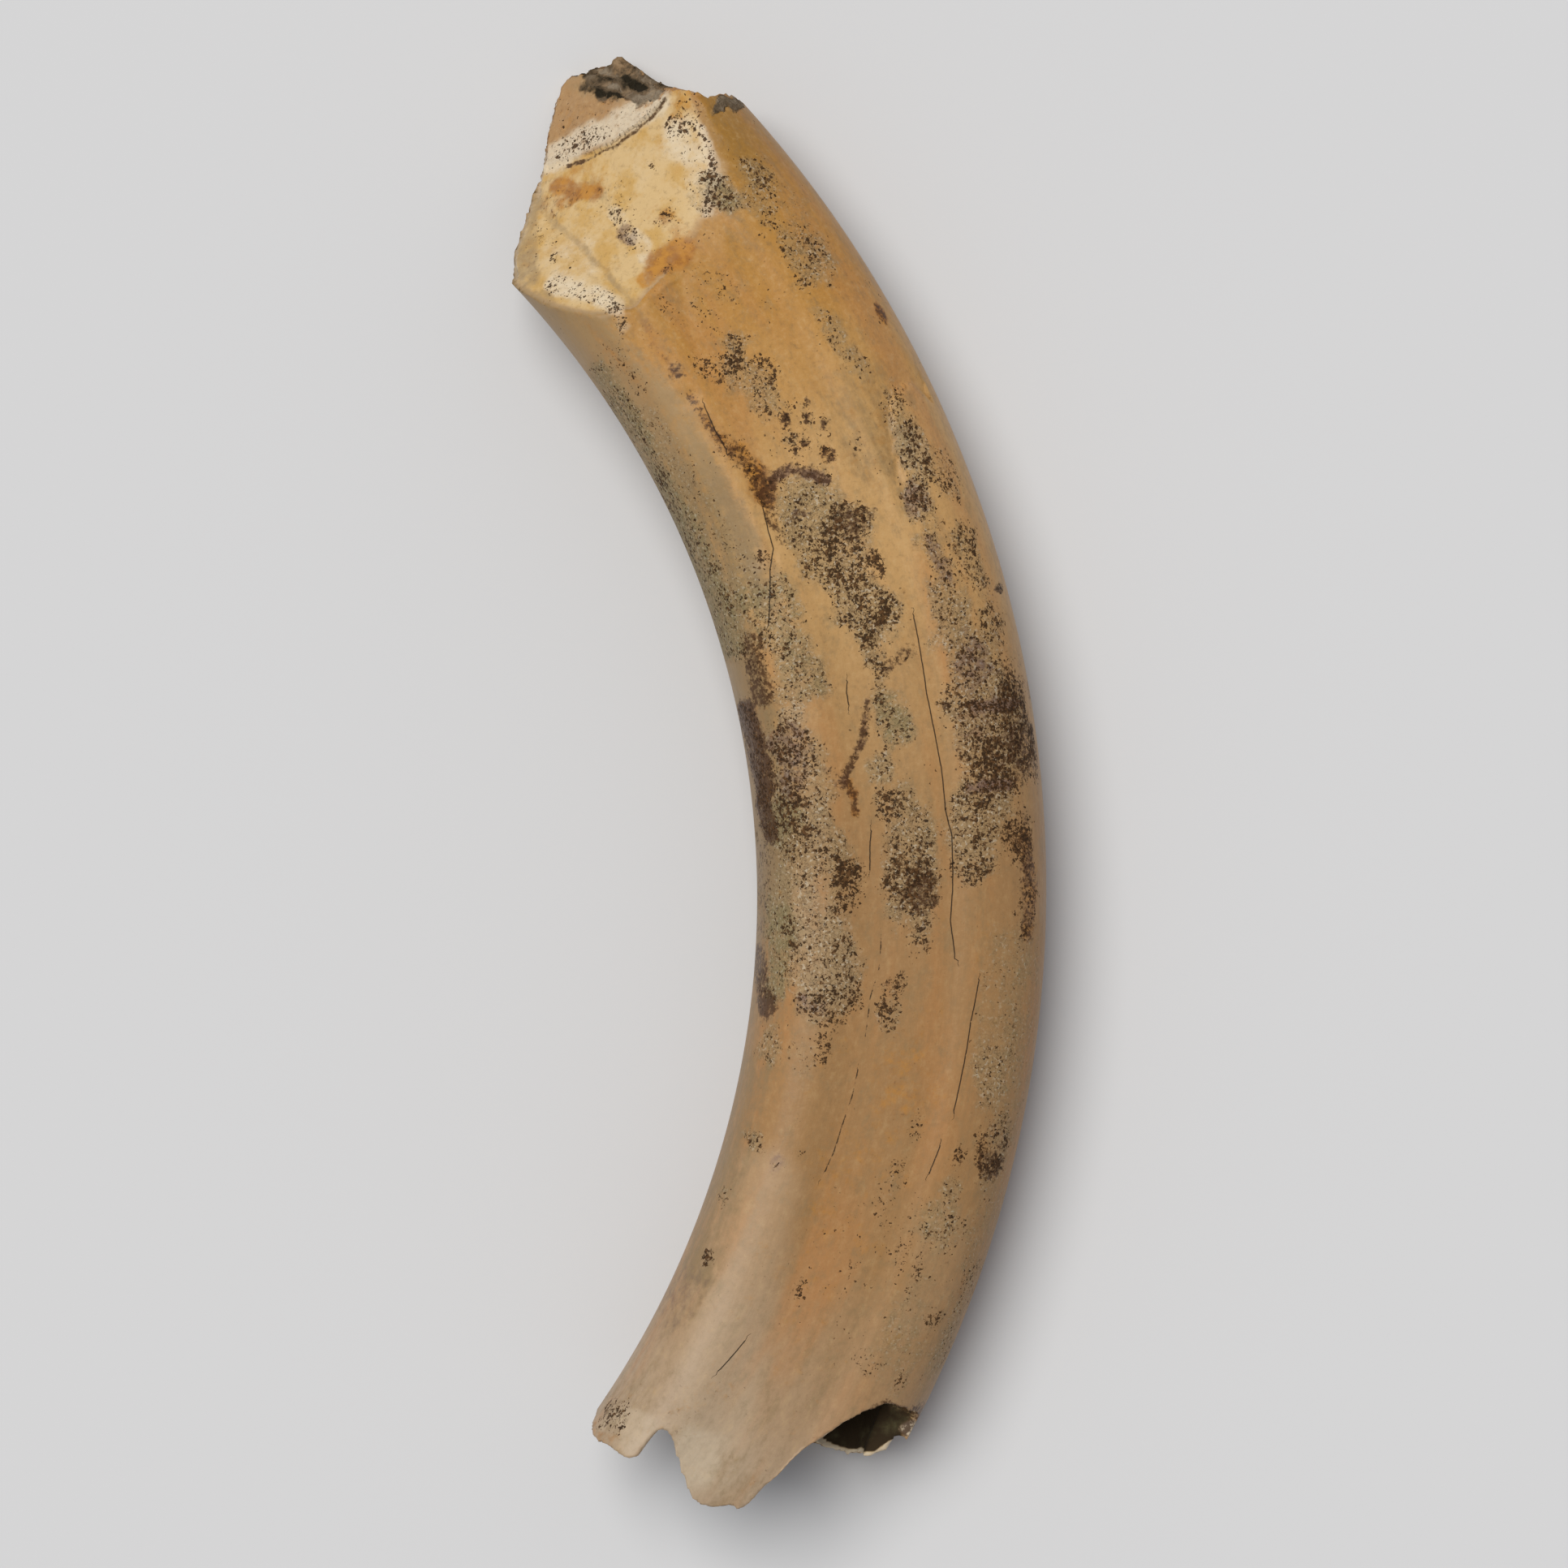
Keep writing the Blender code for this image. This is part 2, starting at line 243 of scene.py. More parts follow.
@dataclass(frozen=True)
class Picture:
    """How the photograph sees the tooth: straight down through a long lens."""

    side: float = 1932.0
    chord: float = 190.0
    chord_pixels: float = 1794.0
    aim: Place = (0.29, -1.41)
    distance: float = 852.5
    level: float = 11.0
    upper_half: float = 13.0
    first_height: float = 24.0
    sight_rounds: int = 4
    growth: Growth = field(default_factory=Growth)
    crown: Crown = field(default_factory=Crown)

    @property
    def pixel(self) -> float:
        """What a pixel spans at the level that the camera's distance is taken from."""
        return self.chord / self.chord_pixels

    def top(self, across: np.ndarray) -> np.ndarray:
        """The height of the grown section's upper side.

        Args:
            across: Distances across the section.

        Returns:
            The heights.
        """
        section = self.growth.section[::-1]
        places = np.array([place for place in section if place[1] > self.upper_half])
        return np.interp(across, places[:, 0], places[:, 1])

    def surface_height(self, x: float, y: float) -> float:
        """The height of the side that shows, at a place seen from above.

        Args:
            x: The place towards the convex side.
            y: The place towards the crown.

        Returns:
            The height of the shaft, or of the worn face where that is lower.
        """
        angle, across = self.growth.locate(x, y)
        scale = self.growth.taper(angle)
        heights = self.top(across / scale) * scale
        worn = self.crown.worn_height(*self.crown.axes(self.growth, x, y))
        return float(min(heights, worn)) if angle > self.crown.first_angle else float(heights)

    def on_tooth(self, place: Place) -> Place:
        """Where a pixel lies on the side that shows.

        Args:
            place: The pixel, across and down.

        Returns:
            The distance along the arc and the distance across the tooth.
        """
        height = self.first_height
        for _ in range(self.sight_rounds):
            near = self.pixel * (self.distance - (height - self.level)) / self.distance
            x = self.aim[0] + (place[0] - self.side / 2) * near
            y = self.aim[1] - (place[1] - self.side / 2) * near
            height = self.surface_height(x, y)
        angle, across = self.growth.locate(x, y)
        return float(self.growth.along(angle)), float(across)


@dataclass(frozen=True, kw_only=True)
class Stain:
    """How much of each layer a mark lays on, from 0 to 1."""

    speckle: float = 0.0
    bloom: float = 0.0
    crust: float = 0.0
    rust: float = 0.0
    lilac: float = 0.0
    pale: float = 0.0
    green: float = 0.0
    shade: float = 0.0
    rock: float = 0.0


@dataclass(frozen=True)
class Patch(Stain):
    """An oval of stain on the side that shows, its long way along the tooth, in pixels."""

    name: str
    x: float
    y: float
    half_long: float
    half_wide: float


@dataclass(frozen=True)
class Streak(Stain):
    """A band of stain along a line through pixels of the photograph."""

    name: str
    line: tuple[Place, ...]
    half_wide: float


@dataclass(frozen=True)
class Crack:
    """A hairline that runs through the given points."""

    name: str
    line: tuple[Place, ...]
    hold: float = 1.0
    side: Side = Side.SHOWN


@dataclass(frozen=True)
class Groove:
    """A shallow furrow on the side that shows: a line in pixels, its depth and half its width."""

    name: str
    line: tuple[Place, ...]
    depth: float
    half_wide: float


GROOVES = (
    Groove(
        "worn face furrow",
        ((655, 240), (680, 274), (715, 304), (747, 341), (779, 371)), 0.35, 0.9,
    ),
    Groove("worn face furrow, short", ((728, 222), (752, 262), (776, 298)), 0.2, 0.6),
    Groove("worn face furrow, middle", ((752, 206), (778, 248), (806, 286)), 0.16, 0.6),
    Groove("worn face furrow, low", ((700, 300), (722, 330), (748, 356)), 0.16, 0.5),
    Groove(
        "crease under it",
        ((779, 371), (791, 394), (812, 428), (830, 458), (850, 489)), 0.28, 1.1,
    ),
    Groove(
        "crease down the shaft",
        ((850, 489), (878, 530), (914, 545), (932, 570), (944, 616)), 0.22, 1.0,
    ),
    Groove("crease at mid height", ((944, 616), (955, 672), (948, 720), (949, 789)), 0.16, 0.8),
    Groove("second furrow", ((838, 345), (846, 400), (862, 440), (884, 480)), 0.15, 0.8),
)

CRACKS = (
    Crack(
        "main, upper",
        ((1126, 760), (1138, 826), (1142, 855), (1153, 910), (1161, 953), (1165, 998)), 0.7,
    ),
    Crack("main, middle", ((1165, 998), (1173, 1030), (1174, 1096), (1171, 1134), (1177, 1179))),
    Crack("short, upper", ((1044, 842), (1043, 852), (1046, 869)), 0.7),
    Crack("short, middle", ((1074, 1022), (1072, 1040), (1072, 1072)), 0.6),
    Crack("left of middle", ((1086, 1143), (1084, 1191), (1072, 1230), (1067, 1274)), 0.34),
    Crack(
        "lower left",
        ((1057, 1319), (1051, 1348), (1038, 1386), (1027, 1421), (1013, 1451)), 0.42,
    ),
    Crack(
        "lower right",
        ((1206, 1210), (1196, 1261), (1190, 1300), (1183, 1335), (1175, 1370)), 0.62,
    ),
    Crack("lower right end", ((1159, 1411), (1150, 1434), (1145, 1445)), 0.6),
    Crack("scratch", ((918, 1652), (905, 1668), (885, 1690)), 0.7),
    Crack("crease line", ((940, 626), (947, 655), (953, 676), (949, 700), (947, 770)), 0.8),
    Crack("upper crease", ((868, 500), (880, 528), (896, 556)), 0.6),
    Crack(
        "under side, long",
        ((38.0, 4.0), (26.0, 5.5), (12.0, 4.5), (-4.0, 6.0)), 0.8, Side.HIDDEN,
    ),
    Crack("under side, left", ((20.0, -9.0), (8.0, -10.2), (-6.0, -9.4)), 0.7, Side.HIDDEN),
    Crack("under side, root", ((-12.0, -3.0), (-20.0, -2.2), (-29.0, -4.0)), 0.8, Side.HIDDEN),
)

STREAKS = (
    Streak(
        "crease stain",
        ((796, 400), (817, 441), (830, 461)), 7, shade=0.3, rust=0.5, crust=0.25,
    ),
    Streak(
        "crease, thin",
        ((850, 488), (866, 512), (884, 540)), 6, crust=0.75, rust=0.5, speckle=0.2,
    ),
    Streak(
        "rusty crease", ((892, 546), (914, 562), (930, 584), (943, 612)), 13,
        rust=0.6, crust=0.66, speckle=0.5,
    ),
    Streak("crease, soft halo", ((884, 530), (914, 562), (940, 604)), 24, rust=0.2, shade=0.3),
    Streak(
        "crease below",
        ((944, 600), (950, 640), (962, 662)), 9, crust=0.6, rust=0.3, speckle=0.4,
    ),
    Streak(
        "arc over big patch", ((941, 614), (955, 588), (976, 578), (1000, 583), (1018, 590)), 8,
        lilac=0.8, crust=0.75, speckle=0.5,
    ),
    Streak(
        "branching stain", ((1069, 866), (1066, 893), (1061, 914), (1052, 935), (1038, 962)), 6,
        lilac=0.6, crust=0.8, speckle=0.4,
    ),
    Streak("branch", ((1040, 966), (1028, 968), (1019, 946)), 5, lilac=0.6, crust=0.6),
    Streak("rust under branch", ((1044, 965), (1051, 984), (1055, 1000)), 7, rust=0.7, crust=0.7),
    Streak(
        "smear by tail", ((1090, 826), (1108, 815), (1124, 802)), 9,
        crust=0.6, lilac=0.4, speckle=0.4,
    ),
    Streak(
        "left edge, high", ((806, 590), (835, 630), (864, 690), (886, 745), (903, 800)), 19,
        bloom=0.85, speckle=0.6, green=0.7, shade=0.6,
    ),
    Streak(
        "left edge, flank", ((738, 455), (768, 505), (800, 560)), 17,
        bloom=0.7, speckle=0.45, green=0.6,
    ),
    Streak(
        "left edge, inner", ((800, 520), (850, 600), (884, 660), (914, 730)), 26,
        bloom=0.45, speckle=0.3, green=0.2,
    ),
    # Grey, and painted shade on the lower left flank beside the ridge, where it turns away.
    Streak(
        "left of the ridge", ((930, 1310), (908, 1376), (884, 1490), (864, 1560)), 27,
        shade=0.7, lilac=0.15,
    ),
    Streak("brown smear", ((927, 790), (932, 825), (942, 858)), 15, crust=0.75, speckle=0.3),
    Streak(
        "dark left edge", ((919, 872), (928, 905), (936, 945), (942, 972)), 13,
        crust=1.0, speckle=0.9, rust=0.3,
    ),
    Streak(
        "dark left edge, low",
        ((938, 988), (944, 1010), (950, 1028)), 10, crust=1.0, speckle=0.8,
    ),
    Streak(
        "left edge, brown", ((942, 1040), (940, 1090), (938, 1150)), 11,
        crust=0.4, green=0.4, speckle=0.35,
    ),
    Streak(
        "green smear", ((962, 1130), (962, 1180), (952, 1222)), 18,
        bloom=0.9, green=0.7, speckle=0.45,
    ),
    Streak(
        "left edge, smear",
        ((934, 1170), (938, 1210), (944, 1248)), 10, crust=0.75, speckle=0.3,
    ),
    Streak(
        "blue streak, high",
        ((1200, 868), (1225, 870), (1248, 866)), 7, lilac=0.9, speckle=0.9,
    ),
    Streak("blue streak, low", ((1194, 972), (1218, 968), (1242, 966)), 7, lilac=0.9, speckle=0.9),
    Streak(
        "root edge, right",
        ((1205, 1560), (1180, 1620), (1155, 1680)), 10, speckle=0.4, bloom=0.4,
    ),
    Streak(
        "right edge, grey", ((1268, 1150), (1258, 1280), (1236, 1420), (1200, 1560)), 22,
        bloom=0.45, green=0.35, speckle=0.12,
    ),
    Streak(
        "right edge rust", ((1262, 1030), (1268, 1090), (1266, 1150)), 10,
        rust=0.5, crust=0.5, speckle=0.4,
    ),
    Streak(
        "band beyond the step", ((680, 197), (716, 174), (755, 158), (786, 137), (808, 124)), 20,
        pale=0.95, speckle=0.12,
    ),
    Streak("band, speckled half", ((692, 186), (714, 175), (736, 166)), 15, speckle=0.62),
    Streak(
        "white edge, right", ((846, 142), (866, 168), (876, 200), (878, 226), (872, 254)), 8,
        pale=0.3, speckle=0.66,
    ),
    Streak(
        "white band, low", ((684, 350), (712, 360), (738, 364), (756, 376)), 15,
        pale=0.62, speckle=0.55,
    ),
    Streak("white band, tail", ((748, 372), (760, 386), (768, 404)), 9, pale=0.4, speckle=0.6),
    # Painted light on the rock's pale lump and ledge tops, and painted shadow in the line and
    # hollow under them.
    Streak("tip rock, pale lump", ((724, 86), (744, 84)), 6, pale=0.6),
    Streak("tip rock, pale ledge", ((726, 93), (742, 99), (760, 106)), 6, pale=0.9),
    Streak("tip rock, line", ((736, 90), (752, 95), (768, 104)), 2.6, shade=0.8),
    Streak("tip rock, hollow", ((768, 94), (780, 100), (794, 108)), 7, shade=0.85),
    # Painted shade along the worn face's furrows, with a green stain.
    Streak(
        "furrow stain",
        ((660, 244), (684, 276), (704, 292), (730, 320), (752, 342), (778, 370)), 5,
        shade=0.6, green=0.2,
    ),
    Streak("furrow stain, short", ((730, 224), (752, 262), (776, 298)), 6, shade=0.4, green=0.3),
    Streak("face, yellow band", ((716, 210), (748, 224), (776, 246), (800, 260)), 17, rust=0.24),
    Streak("upper rust spot", ((688, 228), (708, 234), (732, 238)), 12, rust=0.7),
    Streak("lower rust spot", ((810, 323), (838, 311)), 20, rust=1.0),
    # Painted shade along the lower furrow, with rust.
    Streak("furrow stain, low", ((779, 371), (791, 394), (812, 428)), 6, shade=0.5, rust=0.3),
    Streak(
        "step shadow",
        ((700, 204), (728, 196), (757, 182), (780, 164), (803, 143), (820, 122)), 2.6,
        shade=0.8, crust=0.75,
    ),
    Streak("left cement", ((652, 246), (646, 290), (650, 340)), 18, shade=0.8),
    # Painted highlight along the left ridge, laid with the pale layer.
    Streak(
        "ridge, pale", ((936, 1460), (922, 1520), (908, 1580), (888, 1680), (870, 1790)), 62,
        pale=0.3,
    ),
    Streak(
        "root rim, pale",
        ((1008, 1794), (1045, 1803), (1082, 1798), (1098, 1784)), 5, pale=1.0,
    ),
)

PATCHES = (
    Patch("white field, right", 848, 186, 46, 24, pale=0.5, speckle=0.25),
    Patch("white field, right core", 850, 190, 22, 11, pale=0.4, speckle=0.2),
    Patch("white field, right end", 862, 240, 30, 18, pale=0.42, speckle=0.3),
    Patch("white field, right top", 834, 158, 14, 12, pale=0.5, speckle=0.7),
    Patch("face specks, top", 846, 136, 12, 24, speckle=0.45, green=0.3),
    Patch("pale field on the face", 704, 318, 36, 34, pale=0.4, speckle=0.1),
    Patch("pale field, middle", 800, 200, 34, 26, pale=0.25),
    Patch("white by the violet mark", 760, 268, 20, 12, pale=0.5, speckle=0.2),
    Patch("white under the violet mark", 788, 300, 24, 15, pale=0.5, speckle=0.15),
    Patch("core of upper rust", 704, 245, 14, 15, rust=0.6, crust=0.3),
    Patch("end of upper rust", 737, 237, 6, 7, rust=0.5, crust=0.5),
    Patch("lobe of lower rust", 794, 338, 13, 12, rust=0.8),
    Patch("mark in lower rust", 822, 331, 9, 8, crust=0.55, speckle=0.7),
    Patch("tip, grey by the rock", 722, 104, 26, 20, shade=0.6),
    Patch("rust, face side", 838, 282, 30, 16, rust=0.35, speckle=0.25),
    Patch("face corner, tan", 842, 130, 22, 26, rust=0.4),
    Patch("face mark, high", 804, 207, 11, 5, speckle=0.85, crust=0.3),
    Patch("face mark, left", 758, 268, 14, 10, speckle=0.75, crust=0.2),
    Patch("face mark, right", 818, 265, 12, 16, speckle=0.8, rust=0.4, crust=0.25),
    Patch("face mark, violet", 773, 290, 20, 12, speckle=0.75, lilac=0.75),
    Patch("face mark, low left", 683, 318, 7, 6, speckle=0.85),
    Patch("face speckle, low left", 668, 290, 22, 10, speckle=0.45),
    Patch("face marks, centre", 766, 262, 40, 28, speckle=0.3, green=0.3, bloom=0.2),
    Patch("grey beside the face", 884, 234, 34, 16, bloom=0.9, speckle=0.8, green=0.6, crust=0.25),
    Patch("shoulder speckle, top", 930, 212, 24, 16, speckle=0.6, bloom=0.5),
    Patch("shoulder field", 966, 262, 92, 34, speckle=0.3, bloom=0.4, green=0.3),
    Patch("shoulder speckle", 934, 252, 30, 20, speckle=0.4, bloom=0.4),
    Patch("shoulder speckle, low", 990, 318, 40, 24, speckle=0.5, bloom=0.5),
    Patch("shoulder grey arc", 1022, 408, 36, 16, bloom=0.55, speckle=0.45),
    Patch("shoulder specks", 1056, 450, 22, 12, speckle=0.5, bloom=0.4),
    Patch("amber chip", 1087, 386, 14, 6, crust=0.8, rust=1.0),
    Patch("under the face, specks", 884, 348, 36, 20, speckle=0.4, bloom=0.25),
    Patch("under the face, yellow", 826, 372, 50, 40, green=0.2, pale=0.1),
    Patch("under the face, row", 822, 378, 34, 10, speckle=0.5, bloom=0.15),
    Patch("under the face, dots", 868, 388, 36, 16, speckle=0.42),
    Patch("furrow cluster", 868, 448, 24, 14, speckle=0.62, pale=0.15),
    Patch("crease, soft brown", 830, 457, 17, 12, shade=0.5, crust=0.6, rust=0.3),
    Patch("flank speckle, high", 768, 440, 30, 13, speckle=0.5, bloom=0.35),
    Patch("flank speckle, low", 786, 474, 18, 9, speckle=0.6),
    Patch("flank speckle, edge", 764, 500, 26, 15, speckle=0.45, bloom=0.5),
    Patch("upper cluster", 926, 466, 50, 26, speckle=0.72, bloom=0.75),
    Patch("upper cluster, rim", 905, 438, 30, 20, speckle=0.6, bloom=0.3),
    Patch("upper cluster core", 946, 456, 16, 14, speckle=0.9, crust=0.35),
    Patch("blob field", 988, 528, 44, 34, speckle=0.4),
    Patch("blob, large", 967, 514, 11, 8, speckle=1.0, crust=1.0),
    Patch("blob, right", 996, 516, 7, 6, speckle=1.0, crust=1.0),
    Patch("blob, top", 995, 497, 6, 5, speckle=0.9, crust=0.9),
    Patch("blob, grey", 974, 537, 11, 10, speckle=0.8, bloom=0.7),
    Patch("blob, centre", 993, 546, 6, 6, speckle=1.0, crust=0.9),
    Patch("blob, low", 980, 556, 7, 5, speckle=1.0, crust=0.9),
    Patch("blob, far right", 1017, 526, 6, 7, speckle=0.9, crust=0.8),
    Patch("blob, brown", 1021, 562, 11, 10, speckle=0.8, crust=0.75, rust=0.3),
    Patch("blob, small", 888, 468, 5, 8, speckle=0.9, crust=0.8),
    Patch("ghost spot, high", 1067, 506, 9, 8, crust=0.3),
    Patch("ghost spot, low", 1058, 547, 14, 9, crust=0.35, speckle=0.6),
    Patch("ghost spot, right", 1128, 664, 9, 8, bloom=0.5, crust=0.3),
    Patch("big patch, ground", 1000, 630, 50, 50, bloom=1.0, speckle=0.62, green=0.4),
    Patch("big patch, core", 1048, 638, 24, 26, speckle=1.0, bloom=0.7, crust=0.6),
    Patch("big patch, bar", 982, 634, 6, 22, lilac=0.6, crust=0.6),
    Patch("big patch, middle", 1034, 684, 48, 44, speckle=0.95, bloom=0.9, crust=0.2),
    Patch("big patch, low", 1060, 742, 42, 38, speckle=0.88, bloom=0.85),
    Patch("big patch, ring", 1081, 697, 16, 16, speckle=0.95, lilac=0.45, crust=0.4),
    Patch("tail", 1078, 792, 42, 20, speckle=0.9, bloom=0.75, crust=0.2),
    Patch("tail, right", 1099, 762, 34, 12, speckle=0.65, bloom=0.5),
    Patch("tail end", 1086, 850, 26, 14, speckle=0.7, bloom=0.5),
    Patch("right strip, top", 1112, 512, 44, 20, speckle=0.6, bloom=0.5, lilac=0.3),
    Patch("right strip, side", 1162, 580, 30, 20, speckle=0.7, bloom=0.5),
    Patch("right strip, middle", 1126, 558, 40, 19, speckle=0.8, bloom=0.8, pale=0.3),
    Patch("right strip, violet", 1129, 617, 23, 21, speckle=0.95, bloom=0.8, lilac=0.6, pale=0.2),
    Patch("right strip, faint", 1150, 640, 20, 14, speckle=0.4, bloom=0.5),
    Patch("right band, violet", 1157, 690, 34, 19, speckle=0.75, bloom=0.9, lilac=0.7),
    Patch("right band, brown", 1194, 686, 46, 18, speckle=0.85, bloom=0.6, crust=0.3),
    Patch("right band, pale", 1172, 764, 58, 28, speckle=0.6, bloom=0.95, lilac=0.35),
    Patch("right band, low", 1196, 812, 30, 26, speckle=0.55, bloom=0.8, lilac=0.4),
    Patch("right band, edge", 1224, 768, 34, 16, speckle=0.85, bloom=0.5, crust=0.2),
    Patch("right band, spot", 1231, 725, 7, 6, speckle=1.0, crust=0.8),
    Patch("lower right, ground", 1218, 890, 84, 46, bloom=1.0, speckle=0.85, lilac=0.4),
    Patch("lower right, edge", 1252, 878, 66, 22, speckle=1.0, crust=0.6),
    Patch("lower right, low", 1232, 944, 36, 42, speckle=1.0, crust=0.35),
    Patch("right, below", 1206, 1010, 54, 36, speckle=0.8, bloom=0.95, lilac=0.2),
    Patch("right, below, dark", 1255, 1036, 42, 17, speckle=0.95, crust=0.4),
    Patch("right, below, row", 1200, 1072, 17, 28, speckle=0.85, bloom=0.5),
    Patch("right, spot", 1169, 870, 7, 6, speckle=1.0, crust=0.7),
    Patch("right edge, specks", 1262, 1115, 46, 14, speckle=0.55, crust=0.25),
    Patch("centre, green", 1104, 890, 34, 32, speckle=0.65, bloom=0.9, green=0.7),
    Patch("centre, violet", 1088, 942, 22, 20, speckle=0.6, bloom=0.9, lilac=0.4, green=0.5),
    Patch("centre, upper dots", 1096, 992, 28, 20, speckle=0.9, bloom=0.5, crust=0.2),
    Patch("centre, haze", 1118, 984, 30, 17, bloom=0.7, speckle=0.5),
    Patch("centre, ground", 1122, 1078, 76, 36, speckle=0.8, bloom=0.9),
    Patch("centre, upper right", 1146, 1030, 34, 14, speckle=0.8, bloom=0.7),
    Patch("centre, core", 1136, 1104, 34, 26, speckle=1.0, bloom=0.5, crust=0.7),
    Patch("centre, left rim", 1098, 1084, 26, 11, speckle=0.95),
    Patch("centre, tail dots", 1126, 1164, 18, 18, speckle=0.72, bloom=0.3),
    Patch("centre, low, upper", 1101, 1207, 17, 16, speckle=0.95, crust=0.4, bloom=0.4),
    Patch("centre, low, lower", 1093, 1247, 26, 19, speckle=0.88, bloom=0.5),
    Patch("left, grey", 950, 758, 56, 42, bloom=0.95, speckle=0.6, green=0.6),
    Patch("left, crease specks", 952, 712, 40, 14, speckle=0.5, crust=0.25),
    Patch("left, spot", 933, 686, 11, 10, speckle=0.85, crust=0.3),
    Patch("left, grey, low", 988, 824, 50, 36, bloom=1.0, speckle=0.56, green=0.5),
    Patch("left, white", 980, 884, 20, 20, speckle=0.6, bloom=0.8, pale=0.3),
    Patch("left, purple", 970, 934, 62, 34, speckle=0.9, bloom=0.7, lilac=0.6, crust=0.3),
    Patch("left, right of purple", 1010, 950, 44, 20, speckle=0.5, bloom=0.6),
    Patch("left, green-black", 962, 1006, 40, 28, speckle=0.95, bloom=0.9, green=0.7, crust=0.3),
    Patch("left, haze", 1004, 1040, 66, 44, speckle=0.7, bloom=0.9, pale=0.1),
    Patch("left, dark dots", 1042, 1088, 42, 24, speckle=1.0, bloom=0.5, crust=0.2),
    Patch("left, green", 972, 1116, 56, 30, speckle=0.3, bloom=0.8, green=0.35, pale=0.25),
    Patch("left, lower ground", 1014, 1184, 80, 46, speckle=0.56, bloom=0.85, pale=0.25),
    Patch("left, lower right", 1043, 1200, 44, 22, speckle=0.6, bloom=0.4),
    Patch("left, violet dots", 994, 1238, 20, 24, speckle=0.85, lilac=0.7, bloom=0.6),
    Patch("left, last dots", 1030, 1252, 38, 24, speckle=0.6, bloom=0.3),
    Patch("left, end dots", 1014, 1290, 26, 12, speckle=0.7),
    Patch("left edge, brown spot", 945, 1238, 18, 12, crust=0.8),
    Patch("left edge, grey spot", 950, 1284, 30, 18, bloom=0.75, speckle=0.5),
    Patch("left edge, specks", 985, 1300, 30, 16, speckle=0.4, bloom=0.3),
    Patch("smudge", 928, 1404, 18, 15, bloom=0.8, speckle=0.7, crust=0.2),
    Patch("smudge, lilac", 958, 1434, 18, 12, lilac=0.5, speckle=0.4),
    Patch("right, grey field", 1230, 1250, 96, 32, speckle=0.2, bloom=0.45, green=0.3),
    Patch("right, grey arc", 1222, 1322, 40, 22, speckle=0.26, bloom=0.6),
    Patch("lower right cluster", 1222, 1412, 42, 20, speckle=0.8, bloom=0.3, crust=0.25),
    Patch("lower right, core", 1217, 1430, 17, 18, speckle=1.0, crust=0.6),
    Patch("lower right, dot", 1181, 1425, 12, 9, speckle=0.95, crust=0.3),
    Patch("lower right, ring", 1172, 1464, 14, 15, speckle=0.5, bloom=0.6),
    Patch("lower faint, right", 1160, 1512, 32, 32, speckle=0.48, bloom=0.6, green=0.5),
    Patch("lower specks, right", 1129, 1572, 30, 9, speckle=0.75, crust=0.3),
    Patch("lower speck, edge", 1150, 1624, 12, 10, speckle=0.8, crust=0.4),
    Patch("lower speck, amber", 1186, 1582, 16, 6, speckle=0.7, rust=0.4),
    Patch("lower specks, centre", 987, 1590, 13, 7, speckle=0.8),
    Patch("lower specks, high", 1049, 1566, 11, 6, speckle=0.7),
    Patch("lower specks, line", 1108, 1550, 20, 9, speckle=0.6),
    Patch("lower specks, left", 872, 1550, 15, 7, speckle=1.0, crust=0.4),
    Patch("lower specks, far left", 892, 1474, 16, 9, speckle=0.7, bloom=0.4),
    Patch("lower specks, bar", 1127, 1388, 22, 8, speckle=0.7, crust=0.2),
    Patch("lower specks, row", 1096, 1470, 40, 16, speckle=0.42, bloom=0.3),
    Patch("lower specks, dot", 984, 1420, 10, 6, speckle=0.85),
    Patch("lower specks, low", 1080, 1560, 150, 112, speckle=0.16),
    Patch("lower specks, end", 1066, 1680, 16, 14, speckle=0.42),
    Patch("lower specks, rim", 1106, 1700, 14, 12, speckle=0.5),
    Patch("bruise", 834, 1604, 62, 28, lilac=0.42, shade=0.4),
    Patch("grey end", 1130, 1650, 90, 60, bloom=0.4, green=0.25, shade=0.2),
    Patch("orange heart", 1040, 1500, 116, 66, rust=0.18),
    Patch("right, pale side", 1150, 1560, 96, 34, pale=0.2, shade=0.15),
    Patch("upper right, dull", 1060, 512, 90, 46, shade=0.45, rust=0.2, bloom=0.15),
    Patch("corner, shaded", 674, 366, 24, 12, shade=0.6),
    Patch("beside the face, grey", 862, 244, 18, 13, bloom=0.45, speckle=0.45),
    Patch("orange heart, high", 1108, 1340, 70, 46, rust=0.24),
    Patch("spur, white", 778, 1764, 34, 40, pale=0.36, speckle=0.12, lilac=0.15),
    Patch("spur, specks", 756, 1742, 26, 18, speckle=0.75, bloom=0.4),
    Patch("spur, tan end", 738, 1770, 13, 14, rust=0.4),
    Patch("lobe, pale", 858, 1796, 44, 32, pale=0.3),
    Patch("lobe, grey end", 896, 1824, 44, 36, shade=0.34, lilac=0.12),
    Patch("root shelf", 1104, 1752, 26, 40, crust=0.8),
    Patch("root shelf, chip", 1122, 1766, 9, 13, pale=1.0),
    Patch("tip rock, left", 742, 102, 26, 24, rock=1.0),
    Patch("tip rock, middle", 772, 102, 18, 20, rock=1.0),
    Patch("tip rock, right", 800, 104, 12, 24, rock=1.0),
    Patch("tip peak", 766, 84, 26, 22, rock=1.0),
    Patch("tip peak, rusty", 764, 76, 16, 15, rust=0.8),
    Patch("tip rock, shadow", 758, 116, 12, 9, shade=1.0),
    Patch("edge pocket", 894, 130, 10, 26, rock=0.9),
)


